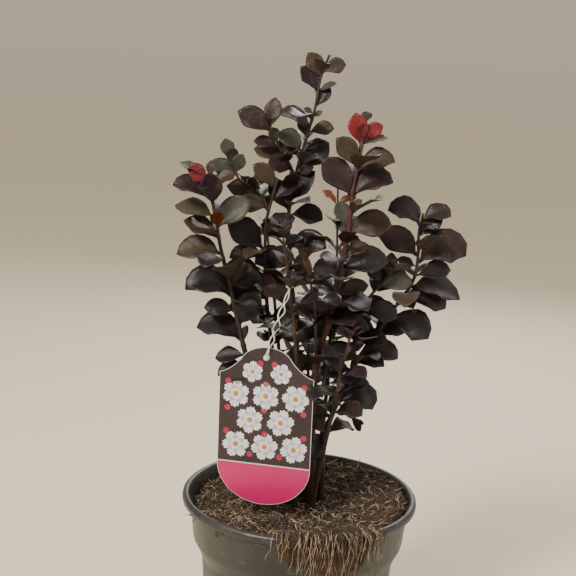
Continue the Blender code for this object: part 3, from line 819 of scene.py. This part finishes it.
# Two tints in patches, roughness, and the tint of the veins.
LEAF_KINDS = {
    "black": ((0.0075, 0.0052, 0.0065), (0.014, 0.008, 0.0095), 0.38, (0.022, 0.014, 0.015)),
    "plum": ((0.016, 0.0066, 0.008), (0.026, 0.011, 0.012), 0.4, (0.04, 0.018, 0.018)),
    "bronze": ((0.03, 0.018, 0.01), (0.05, 0.03, 0.015), 0.44, (0.07, 0.045, 0.025)),
    # The grey tint below is painted sheen: it paints light glancing off a glossy black-purple leaf top.
    "sage": ((0.055, 0.055, 0.04), (0.035, 0.034, 0.024), 0.48, (0.08, 0.08, 0.055)),
    "crimson": ((0.21, 0.008, 0.014), (0.13, 0.01, 0.014), 0.38, (0.26, 0.03, 0.03)),
    "amber": ((0.25, 0.05, 0.014), (0.12, 0.03, 0.012), 0.42, (0.3, 0.1, 0.03)),
}
underside = leaf_material(
    "leaf_underside", (0.034, 0.021, 0.016), (0.055, 0.036, 0.024), 0.55, (0.07, 0.048, 0.032))
red_underside = leaf_material(
    "young_underside", (0.13, 0.02, 0.016), (0.08, 0.025, 0.016), 0.5, (0.16, 0.045, 0.03))


class LeafSheet:
    """Collects many leaves of one colour as arrays, to be made one mesh."""

    def __init__(self):
        self.places, self.faces, self.backs, self.uvs = [], [], [], []

    def add(self, foot, way, face_up, length, width, fold, arch, twist, ripple, seed):
        """One leaf from its foot along way, upper face towards face_up, that sags by arch."""
        rng = random.Random(seed)
        way = way.normalized()
        side = way.cross(face_up)
        side = side.normalized() if side.length > 1e-4 else way.orthogonal().normalized()
        up = side.cross(way)
        at = foot.copy()
        step = length / LEAF_ALONG
        columns = 2 * LEAF_ACROSS + 1
        phase, waves = rng.uniform(0, 6.28), rng.uniform(1.6, 2.6)
        skew = rng.uniform(-0.35, 0.35)
        widest = rng.uniform(1.05, 1.3)
        tops, unders, uv = [], [], []
        for i in range(LEAF_ALONG + 1):
            t = i / LEAF_ALONG
            half = STALK_HALF
            if t >= STALK:
                s = ((t - STALK) / (1 - STALK)) ** widest
                half = max(0.5 * math.sin(math.pi * s) ** 0.78, TIP_HALF)
            half *= width
            bend = fold * (0.55 + 0.45 * math.cos(math.pi * t))
            for j in range(columns):
                q = (j - LEAF_ACROSS) / LEAF_ACROSS
                lift = bend * abs(q) * half + 0.10 * half * q * q
                lift += ripple * half * math.sin(waves * 6.28 * t + phase + (1.7 if q > 0 else 0)) * q * q
                point = at + side * half * q * math.cos(bend * 0.8) + up * lift
                tops.append(point)
                thin = 0.25 if abs(q) == 1 else 1.0
                thin *= 0.4 if i in (0, LEAF_ALONG) else 1.0
                unders.append(point - up * LEAF_THICK * thin)
                uv.append((t * 5.0 - abs(q) * 1.1, q))
            sag = way.cross(Vector((0, 0, -1)))
            sag = sag.normalized() if sag.length > 0.05 else side
            turn = Matrix.Rotation(arch * (0.35 + 1.3 * t) / LEAF_ALONG, 3, sag)
            curl = Matrix.Rotation(twist / LEAF_ALONG, 3, way)
            lean = Matrix.Rotation(skew / LEAF_ALONG, 3, up)
            way = (lean @ turn @ way).normalized()
            up = (curl @ turn @ up).normalized()
            up = (up - way * up.dot(way)).normalized()
            side = way.cross(up)
            at = at + way * step
        start = len(self.places)
        self.places.extend(tops + unders)
        self.uvs.extend(uv + uv)
        size = (LEAF_ALONG + 1) * columns

        def index(i, j, back):
            return start + i * columns + j + (size if back else 0)

        for i in range(LEAF_ALONG):
            for j in range(columns - 1):
                quad = [(i, j), (i, j + 1), (i + 1, j + 1), (i + 1, j)]
                self.faces.append([index(a, b, False) for a, b in quad])
                self.backs.append(0)
                self.faces.append([index(a, b, True) for a, b in reversed(quad)])
                self.backs.append(1)
        rim = [(0, j) for j in range(columns)]
        rim += [(i, columns - 1) for i in range(1, LEAF_ALONG + 1)]
        rim += [(LEAF_ALONG, j) for j in range(columns - 2, -1, -1)]
        rim += [(i, 0) for i in range(LEAF_ALONG - 1, 0, -1)]
        for (a, b), (c, d) in zip(rim, rim[1:] + rim[:1]):
            self.faces.append([index(a, b, False), index(a, b, True), index(c, d, True), index(c, d, False)])
            self.backs.append(0)

    def finish(self, name, top, back):
        """The leaves as one piece."""
        mesh = bpy.data.meshes.new(name)
        mesh.from_pydata([tuple(p) for p in self.places], [], self.faces)
        mesh.materials.append(top)
        mesh.materials.append(back)
        mesh.polygons.foreach_set("material_index", self.backs)
        layer = mesh.uv_layers.new(name="blade")
        corners = np.empty(len(mesh.loops), dtype=np.int32)
        mesh.loops.foreach_get("vertex_index", corners)
        layer.data.foreach_set("uv", np.array(self.uvs, dtype=np.float32)[corners].ravel())
        mesh.shade_smooth()
        mesh.update()
        made = linked(name, mesh)
        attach(made, "root")
        return made


# Leaves that the outline shows, by shoot: height of the foot in mm, heading (0 is right, 90 is back) and
# rise in degrees, length in mm, how far it arches over in radians, how far its face turns to the front as
# a share, and its tint. The grey tint is painted sheen of light on a glossy leaf.
SHOWN = {
    "left": [
        (403, 180, 32, 17, 0.4, 0.8, "crimson"), (400, 200, 12, 15, 0.5, 0.9, "crimson"),
        (401, 178, 34, 25, 0.4, 0.3, "sage"), (402, 50, 82, 13, 0.1, 0.9, "bronze"),
        (393, 0, 38, 22, 0.4, 0.5, "bronze"), (380, 255, 78, 27, 0.3, 0.95, "plum"),
        (384, 182, 52, 34, 1.3, 0.45, "plum"), (372, 180, 22, 33, 0.6, 0.5, "bronze"),
        (360, 265, 60, 18, 0.4, 0.9, "amber"), (354, 178, 38, 30, 0.5, 0.5, "bronze"),
        (362, 0, 52, 33, 0.8, 0.9, "sage"), (340, 180, 24, 36, 1.0, 0.5, "bronze"),
        (330, 5, 28, 17, 0.5, 0.6, "black"), (316, 8, 58, 24, 0.5, 0.85, "plum"),
        (306, 182, 58, 44, 1.9, 0.45, "black"), (297, 185, 14, 24, 0.5, 0.8, "black"),
        (284, -20, 62, 32, 0.6, 0.85, "black"), (270, 180, 44, 40, 1.5, 0.45, "black"),
        (262, 175, 0, 24, 0.4, 0.6, "black"), (250, 182, 10, 26, 0.8, 0.6, "plum"),
        (236, 185, -10, 24, 0.8, 0.6, "black"), (246, 10, 30, 26, 0.9, 0.6, "black"),
    ],
    "tall": [
        (481, 165, 76, 21, 0.3, 1.0, "bronze"), (484, 0, 42, 19, 0.6, 0.95, "bronze"),
        (470, 180, 68, 23, 0.3, 0.7, "plum"), (470, 0, 38, 15, 0.3, 0.4, "sage"),
        (457, 0, 55, 18, 0.3, 0.9, "black"), (451, 180, 35, 8, 0.2, 0.9, "sage"),
        (450, 0, 35, 8, 0.2, 0.9, "sage"), (438, 180, 68, 33, 2.1, 0.5, "plum"),
        (434, 160, 74, 16, 0.2, 1.0, "plum"), (436, 0, 26, 20, 0.5, 0.75, "bronze"),
        (423, 0, 36, 21, 0.5, 0.45, "bronze"), (416, 172, 52, 21, 0.4, 1.0, "bronze"),
        (410, 0, 44, 31, 0.3, 1.0, "black"), (421, 184, 62, 24, 0.8, 0.8, "sage"),
        (402, -30, 30, 16, 0.4, 0.8, "plum"), (383, -15, 60, 30, 0.5, 0.85, "black"),
        (376, 184, 62, 28, 0.4, 0.85, "black"), (390, 255, 48, 23, 0.6, 0.8, "plum"),
        (371, -8, 18, 28, 0.7, 0.7, "black"), (349, -28, 24, 34, 0.8, 0.9, "black"),
        (352, 190, 32, 24, 0.6, 0.8, "plum"), (336, 200, 20, 30, 0.8, 0.8, "black"),
        (330, -50, 30, 30, 0.9, 0.8, "bronze"), (312, 170, 30, 30, 0.9, 0.7, "black"),
    ],
    "top_left": [
        (438, 180, 40, 30, 0.5, 0.9, "plum"), (440, 40, 78, 24, 0.2, 1.0, "bronze"),
        (428, 240, 52, 16, 0.3, 1.0, "sage"), (426, 180, 22, 20, 0.4, 0.6, "plum"),
        (416, 180, 24, 27, 0.6, 0.75, "bronze"), (414, 260, 32, 18, 0.4, 0.9, "plum"),
        (408, 215, 28, 23, 0.6, 0.85, "plum"), (420, 0, 50, 17, 0.4, 0.8, "plum"),
    ],
    "upper_left": [
        (414, 176, 72, 17, 0.2, 0.9, "sage"), (403, 180, 34, 22, 0.4, 0.85, "sage"),
        (404, 300, 78, 17, 0.2, 1.0, "sage"), (397, 0, 24, 16, 0.3, 0.8, "sage"),
        (392, 285, 40, 18, 0.5, 0.9, "plum"), (386, 184, 24, 29, 0.5, 0.7, "bronze"),
        (378, 200, 30, 24, 0.8, 0.85, "bronze"),
    ],
    "centre_left": [
        (394, 176, 66, 25, 0.4, 0.9, "bronze"), (386, 0, 40, 22, 0.6, 0.6, "plum"),
        (345, 182, 46, 36, 0.6, 1.0, "black"), (338, 180, 14, 28, 0.6, 0.6, "black"),
        (325, 184, 16, 34, 0.8, 0.7, "plum"), (357, 10, 40, 26, 0.8, 0.7, "plum"),
        (318, 200, 30, 32, 1.0, 0.8, "sage"), (300, 190, 20, 32, 0.9, 0.8, "black"),
        (332, -40, 30, 30, 0.8, 0.9, "black"), (284, 200, 30, 34, 1.1, 0.8, "black"),
        (310, -60, 34, 28, 0.9, 0.9, "plum"), (290, -30, 20, 30, 1.0, 0.8, "black"),
    ],
    "middle": [
        (432, 165, 76, 24, 0.3, 0.9, "crimson"), (433, 15, 56, 19, 0.3, 0.95, "crimson"),
        (431, 0, 24, 20, 0.2, 0.35, "bronze"), (434, 250, 66, 15, 0.2, 1.0, "crimson"),
        (411, 178, 72, 28, 0.4, 1.0, "bronze"), (414, 0, 44, 30, 1.1, 0.7, "bronze"),
        (392, 180, 62, 36, 0.4, 1.0, "plum"), (391, 0, 60, 36, 1.7, 0.6, "plum"),
        (384, 0, 45, 9, 0.3, 0.6, "bronze"), (362, 0, 36, 34, 0.7, 0.85, "bronze"),
        (356, 265, 40, 23, 0.5, 1.0, "plum"), (370, 172, 66, 21, 0.4, 1.0, "sage"),
        (346, 0, 34, 21, 0.6, 0.7, "bronze"), (337, 0, 26, 37, 1.0, 0.85, "black"),
        (315, 0, 30, 25, 0.7, 0.7, "bronze"), (302, 0, 22, 30, 0.8, 0.7, "black"),
        (291, 0, 14, 32, 0.8, 0.6, "black"), (281, 180, 22, 34, 1.0, 0.7, "black"),
        (300, 200, 30, 26, 0.8, 0.8, "plum"), (330, 210, 30, 26, 0.8, 0.8, "plum"),
        (268, 0, 24, 30, 1.0, 0.7, "black"), (258, 190, 20, 30, 1.0, 0.8, "black"),
    ],
    "right": [
        (369, 180, 64, 31, 1.9, 0.6, "plum"), (374, 0, 52, 25, 1.6, 0.5, "plum"),
        (361, 0, 54, 23, 0.4, 0.9, "black"), (345, 180, 48, 36, 1.3, 0.9, "plum"),
        (341, 0, 56, 44, 2.2, 0.85, "plum"), (331, 0, 20, 28, 0.8, 0.8, "black"),
        (338, 180, 24, 16, 0.5, 0.6, "black"), (326, 180, 30, 34, 2.0, 0.7, "black"),
        (322, 0, 8, 43, 1.0, 0.55, "black"), (311, 0, 22, 40, 1.6, 0.65, "plum"),
        (293, 0, 12, 38, 1.0, 0.7, "black"), (278, 0, 54, 33, 2.0, 0.6, "black"),
        (268, 0, 20, 30, 1.5, 0.65, "plum"), (257, 0, 28, 24, 1.4, 0.65, "black"),
        (252, 190, 20, 26, 0.9, 0.8, "black"), (235, 0, 24, 22, 0.8, 0.8, "plum"),
        (223, 0, 44, 36, 2.4, 0.6, "black"), (300, 184, 40, 26, 1.0, 0.8, "plum"),
        (284, 184, 30, 30, 1.2, 0.8, "black"), (212, 184, 14, 36, 0.7, 1.0, "black"),
        (196, 230, -20, 30, 0.8, 1.0, "black"),
    ],
    "inner_right": [
        (333, 100, 80, 17, 0.2, 0.9, "plum"), (326, 180, 46, 18, 0.5, 0.8, "black"),
        (322, 0, 24, 27, 0.9, 0.8, "sage"), (306, 182, 36, 26, 0.8, 0.8, "plum"),
        (300, 0, 20, 28, 1.0, 0.8, "black"), (286, 200, 34, 28, 1.0, 0.85, "black"),
        (278, -20, 30, 26, 1.0, 0.85, "black"),
    ],
}


def set_out(heading, rise):
    """The level way, the way and the upward face of a leaf that leaves at a heading and a rise."""
    flat = Vector((math.cos(heading), math.sin(heading), 0.0))
    way = flat * math.cos(rise) + UP * math.sin(rise)
    return flat, way, UP * math.cos(rise) - flat * math.sin(rise)


def grow(name, height, heading, rise, length, arch, show, kind, seed):
    """One leaf of a shoot whose foot is at a height on it."""
    foot, _ = at_length(name, length_at(name, height * MM))
    rng = random.Random(seed)
    flat, way, above = set_out(math.radians(heading + rng.uniform(-5, 5)), math.radians(rise))
    to_front = FOREMOST - way * FOREMOST.dot(way)
    face = above * (1.0 - show) + to_front.normalized() * show
    width = length * LEAF_SHAPE * rng.uniform(0.92, 1.08)
    sheets[kind].add(foot + flat * 0.9 * MM, way, face, length * MM, width * MM, rng.uniform(0.15, 0.45),
                     arch, rng.uniform(-0.3, 0.3), rng.uniform(0.04, 0.16), seed)


sheets = {kind: LeafSheet() for kind in LEAF_KINDS}
dice = random.Random(7)
leaf_number = 0
for name, rows in SHOWN.items():
    for row in rows:
        leaf_number += 1
        grow(name, *row, leaf_number)

# The rest follow the growth rule: pairs at right angles to the last, old leaves arching over, the
# youngest small and upright. On the shoots above, single leaves fill the back and the front.
for name, shoot in SHOOTS.items():
    total = shoot_lines[name][1][-1]
    start = length_at(name, shoot["leaves_from"] * MM)
    pairs = max(int((total - start) / (NODE_SPACING * MM)), 1)
    for pair in range(pairs + 1):
        length = start + pair * NODE_SPACING * MM
        if length > total:
            break
        youth = max(0.0, 1.0 - (total - length) / YOUNG_LENGTH)
        foot, _ = at_length(name, length)
        turn = math.radians(shoot["first_turn"] + 90 * (pair % 2) + dice.uniform(-22, 22))
        for mate in range(2):
            heading = turn + math.pi * mate + math.radians(dice.uniform(-14, 14))
            if name in SHOWN:
                heading = math.radians(dice.uniform(55, 125) + 180 * (dice.random() < 0.35))
                if mate:
                    continue
            rise = math.radians(dice.uniform(18, 55) + 20 * youth)
            flat, leaf_way, above = set_out(heading, rise)
            face = above + FOREMOST * dice.uniform(0.0, 0.7)
            size = LEAF_LENGTH * shoot["spread"] * dice.uniform(0.8, 1.12) * (1.0 - 0.55 * youth)
            wide = size * LEAF_SHAPE * dice.uniform(0.9, 1.12)
            arch = dice.uniform(0.5, 1.7) * (1.0 - 0.6 * youth)
            # A few filling leaves take the grey tint, which is painted sheen of light on the gloss.
            kind = dice.choices(["black", "plum", "bronze", "sage"], [0.6, 0.25, 0.12, 0.03])[0]
            if name == "inner" and youth > 0.3:
                kind = "amber"
            leaf_number += 1
            sheets[kind].add(
                foot + flat * shoot["tip"] * MM * 0.8, leaf_way, face, size * MM, wide * MM,
                dice.uniform(0.15, 0.5), arch, dice.uniform(-0.4, 0.4), dice.uniform(0.05, 0.2), leaf_number)
    if name in SHOWN and name != "inner_right":
        continue
    tip, way = at_length(name, total)
    for k in range(TIP_LEAVES):
        heading = k * 2.1 + dice.uniform(0, 1)
        flat = Vector((math.cos(heading), math.sin(heading), 0.0))
        kind = "amber" if name == "inner" else "plum"
        leaf_number += 1
        size = dice.uniform(10, 17)
        sheets[kind].add(tip, way + flat * 0.55, way - flat, size * MM, size * 0.55 * MM,
                         0.4, 0.35, dice.uniform(-0.3, 0.3), 0.1, leaf_number)

for kind, sheet in sheets.items():
    top = leaf_material("leaf_" + kind, *LEAF_KINDS[kind])
    back = red_underside if kind in ("crimson", "amber") else underside
    sheet.finish("leaves_" + kind, top, back)
masses = sorted(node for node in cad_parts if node.startswith("foliage_"))
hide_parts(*masses)


# Label: a stiff printed plastic tag with a rounded foot, hollow shoulders and a punched hole. The print
# is a generic one: white rosettes and rose dots on dark plum over a magenta foot, with no lettering.
LABEL_HALF = 37.0
LABEL_FOOT_TALL = 31.0
SHOULDER_UP = 104.0
SHOULDER_RISE = 13.0
SHOULDER_IN = 19.0  # half the width where the shoulders meet the crown
CROWN_HALF = 20.5
CROWN_UP = 112.5
CROWN_RISE = 13.5
LABEL_THICK = 0.6
LABEL_TURN = math.radians(-11.0)
LABEL_FOOT = Vector((-29.0, -36.0, 151.5)) * MM
HOLE_UP = 118.5
HOLE_R = 1.8
BAND_TOP = 33.0
BAND_GAP = 1.0
PRINT_INSET = 0.4
PRINT_THICK = 0.05
# How far in front of the tag's face each layer of print reaches.
GROUND, MOTIF, SHADE, HEART, EYE = 0.05, 0.1, 0.14, 0.18, 0.22


def label_edge(inset=0.0):
    """The tag's edge, anticlockwise, as (across, up) in millimetres, moved in by an inset."""
    half = LABEL_HALF
    edge = []
    for i in range(41):
        turn = math.pi * i / 40
        edge.append((-half * math.cos(turn), LABEL_FOOT_TALL - LABEL_FOOT_TALL * math.sin(turn)))
    right = [(half, SHOULDER_UP)]
    for i in range(1, 12):
        q = i / 12
        right.append((half - (half - SHOULDER_IN) * q, SHOULDER_UP + SHOULDER_RISE * q**1.6))
    crown = []
    for i in range(31):
        turn = math.pi * (0.12 + 0.76 * i / 30)
        crown.append((CROWN_HALF * math.cos(turn), CROWN_UP + CROWN_RISE * math.sin(turn)))
    edge = edge + right + crown + [(-x, y) for x, y in reversed(right)]
    if not inset:
        return edge
    moved = []
    for i, (x, y) in enumerate(edge):
        before, after = edge[i - 1], edge[(i + 1) % len(edge)]
        run = Vector((after[0] - before[0], after[1] - before[1])).normalized()
        moved.append((x - run.y * inset, y + run.x * inset))
    return moved


label_place = Matrix.Translation(LABEL_FOOT) @ Matrix.Rotation(LABEL_TURN, 4, "Z") @ Matrix.Rotation(
    math.pi / 2, 4, "X")


def flat_shape(name, outlines, front, finish, thick=PRINT_THICK):
    """A flat printed or cut shape on the tag's plane, its face so far in front of the tag's middle."""
    data = bpy.data.curves.new(name, "CURVE")
    data.dimensions = "2D"
    data.fill_mode = "BOTH"
    data.extrude = thick / 2 * MM
    for outline in outlines:
        spline = data.splines.new("POLY")
        spline.points.add(len(outline) - 1)
        for point, (x, y) in zip(spline.points, outline):
            point.co = (x * MM, y * MM, 0.0, 1.0)
        spline.use_cyclic_u = True
    made = settle(linked(name, data), label_place @ Matrix.Translation((0, 0, (front - thick / 2) * MM)))
    made.data.materials.clear()
    made.data.materials.append(finish)
    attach(made, "root")
    return made


def ring_points(x, y, radius, count):
    """A round outline as points."""
    return [(x + radius * math.cos(2 * math.pi * i / count), y + radius * math.sin(2 * math.pi * i / count))
            for i in range(count)]


def clipped(edge, low=None, high=None):
    """The part of an outline above low or below high, cut straight across."""
    out = []
    for i, (x, y) in enumerate(edge):
        nx, ny = edge[(i + 1) % len(edge)]
        limit = low if low is not None else high
        keep = (y >= limit) if low is not None else (y <= limit)
        keep_next = (ny >= limit) if low is not None else (ny <= limit)
        if keep:
            out.append((x, y))
        if keep != keep_next:
            q = (limit - y) / (ny - y)
            out.append((x + (nx - x) * q, limit))
    return out


def print_material(name, colour, second, scale=120.0):
    """Glossy ink on plastic, with a slight unevenness."""
    made, shader = plain_material(name, colour, 0.28)
    tree = made.node_tree
    tint = blend_colours(tree, spots(tree, scale, 0.35, 0.65), colour, second)
    tree.links.new(tint, shader.inputs["Base Color"])
    return made


tag_white = print_material("tag_white", (0.62, 0.6, 0.6), (0.58, 0.56, 0.56))
ink_plum = print_material("ink_plum", (0.012, 0.006, 0.011), (0.03, 0.013, 0.02), 60.0)
ink_magenta = print_material("ink_magenta", (0.55, 0.008, 0.13), (0.5, 0.008, 0.115))
ink_rose = print_material("ink_rose", (0.42, 0.012, 0.06), (0.3, 0.01, 0.04))
ink_white = print_material("ink_white", (0.78, 0.77, 0.8), (0.55, 0.55, 0.62), 500.0)
ink_lilac = print_material("ink_lilac", (0.5, 0.48, 0.6), (0.36, 0.34, 0.46), 400.0)
ink_gold = print_material("ink_gold", (0.55, 0.27, 0.05), (0.4, 0.15, 0.03), 700.0)

half_thick = LABEL_THICK / 2
hole = ring_points(0.0, HOLE_UP, HOLE_R, 32)
tag = flat_shape("tag", [label_edge(), hole], half_thick, tag_white, LABEL_THICK)
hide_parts("label")
ground = clipped(label_edge(PRINT_INSET), low=BAND_TOP)
ground_hole = ring_points(0.0, HOLE_UP, HOLE_R + 0.5, 32)
flat_shape("tag_ground", [ground, ground_hole], half_thick + GROUND, ink_plum)
foot_band = clipped(label_edge(PRINT_INSET), high=BAND_TOP - BAND_GAP)
flat_shape("tag_band", [foot_band], half_thick + GROUND, ink_magenta)


def rosette(x, y, radius, petals, turn, depth):
    """A frilled round flower as one outline."""
    points = []
    count = petals * 14
    for i in range(count):
        t = 2 * math.pi * i / count
        lobe = abs(math.sin(petals * t / 2)) ** 0.5
        frill = 1.0 + 0.06 * math.sin(petals * 4 * t)
        r = radius * (1.0 - depth + depth * lobe) * frill
        points.append((x + r * math.cos(t + turn), y + r * math.sin(t + turn)))
    return points


dice = random.Random(5)
flowers, shades, hearts, centres, dots = [], [], [], [], []
# Rows of motifs: how far up the tag, and how far across each one is.
ROSETTE_ROWS = ((47.0, (-22.5, 0.5, 23.5)), (67.5, (-12.0, 12.5)), (87.5, (-23.5, 0, 23.5)),
                (106.0, (-11.0, 11.5)))
DOT_ROWS = ((40, (-11, 12.5)), (57, (-30.5, 0.3, 31)), (76, (-30, -1, 30)), (97, (-30, 0, 30)),
            (113, (-5, 6)))
PETALS = 6
DOT_R = 2.4
for up, acrosses in ROSETTE_ROWS:
    for across in acrosses:
        r = 10.6 if up < 100 else 8.2
        turn = dice.uniform(0, 1)
        flowers.append(rosette(across, up, r, PETALS, turn, 0.34))
        shades.append(rosette(across, up, r * 0.66, PETALS, turn + 0.5, 0.4))
        hearts.append(rosette(across, up, r * 0.45, PETALS, turn, 0.3))
        centres.append(ring_points(across, up, r * 0.2, 14))
for up, acrosses in DOT_ROWS:
    for across in acrosses:
        dots.append(ring_points(across, up, DOT_R, 14))
flat_shape("tag_flower_shades", shades, half_thick + SHADE, ink_lilac)
flat_shape("tag_flower_hearts", hearts, half_thick + HEART, ink_white)
flat_shape("tag_flowers", flowers, half_thick + MOTIF, ink_white)
flat_shape("tag_flower_eyes", centres, half_thick + EYE, ink_gold)
flat_shape("tag_dots", dots, half_thick + MOTIF, ink_rose)


# Tie: two thin white strands, knotted in the tag's hole and twisted together up to the front stem,
# where they loop round it once.
CORD_R = 0.5 * MM
TWISTS = 2.3
LOOP_R = 2.35 * MM
KNOT_R = 1.75 * MM
white_cord, shader = plain_material("white_cord", (0.72, 0.7, 0.68), 0.6)
tree = white_cord.node_tree
add_bump(tree, shader, spots(tree, 2500.0, 0.3, 0.7), 0.0002)


def on_tag(across, up, out):
    """A point near the tag, with out towards the front, in millimetres."""
    return label_place @ Vector((across * MM, up * MM, out * MM))


hook_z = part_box("label_tie")[1][2] - 2.0 * MM
hook, stem_way = at_length("front", length_at("front", hook_z))
out = Vector((0, -1, 0))
out = (out - stem_way * out.dot(stem_way)).normalized()
beside = stem_way.cross(out)
bm = bmesh.new()
for strand in (0, 1):
    centres = []
    start = on_tag(0.0, HOLE_UP + 1.2, 2.6)
    end = hook + out * 2.4 * MM
    for i in range(41):
        q = i / 40
        turn = 2 * math.pi * TWISTS * q + math.pi * strand
        loose = (0.55 + 1.9 * math.sin(math.pi * q)) * MM
        centres.append(start.lerp(end, q) + (beside * math.cos(turn) + out * math.sin(turn)) * loose
                       + Vector((0, -1.5 * MM * math.sin(math.pi * q), 0)))
    for i in range(1, 22):
        t = (2 * math.pi * 0.92 * i / 21) * (1 if strand else -1)
        centres.append(hook + (out * math.cos(t) + beside * math.sin(t)) * LOOP_R
                       + stem_way * (0.5 + 1.1 * strand) * MM)
    tube(bm, centres, [CORD_R] * len(centres), 10)
strands = mesh_piece(bm, "tie_strands", [white_cord])
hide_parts("label_tie")

bm = bmesh.new()
middle = on_tag(0.0, HOLE_UP, half_thick + 2.2)
for k in range(3):
    ring = []
    tilt = Matrix.Rotation(math.radians(60 * k), 4, "Z") @ Matrix.Rotation(math.radians(52), 4, "X")
    for i in range(25):
        t = 2 * math.pi * i / 24
        ring.append(middle + (tilt @ Vector((math.cos(t), math.sin(t), 0))) * KNOT_R)
    tube(bm, ring, [CORD_R * 1.35] * len(ring), 8)
bmesh.ops.create_icosphere(bm, subdivisions=3, radius=KNOT_R, matrix=Matrix.Translation(middle))
tube(bm, [on_tag(0, HOLE_UP, 2.0), on_tag(0, HOLE_UP, -1.2)], [CORD_R * 1.6] * 2, 10)
bmesh.ops.create_icosphere(bm, subdivisions=2, radius=1.5 * MM,
                           matrix=Matrix.Translation(on_tag(0, HOLE_UP, -half_thick - 1.3)))
for face in bm.faces:
    face.smooth = True
knot = mesh_piece(bm, "tie_knot", [white_cord])
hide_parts("label_knot")
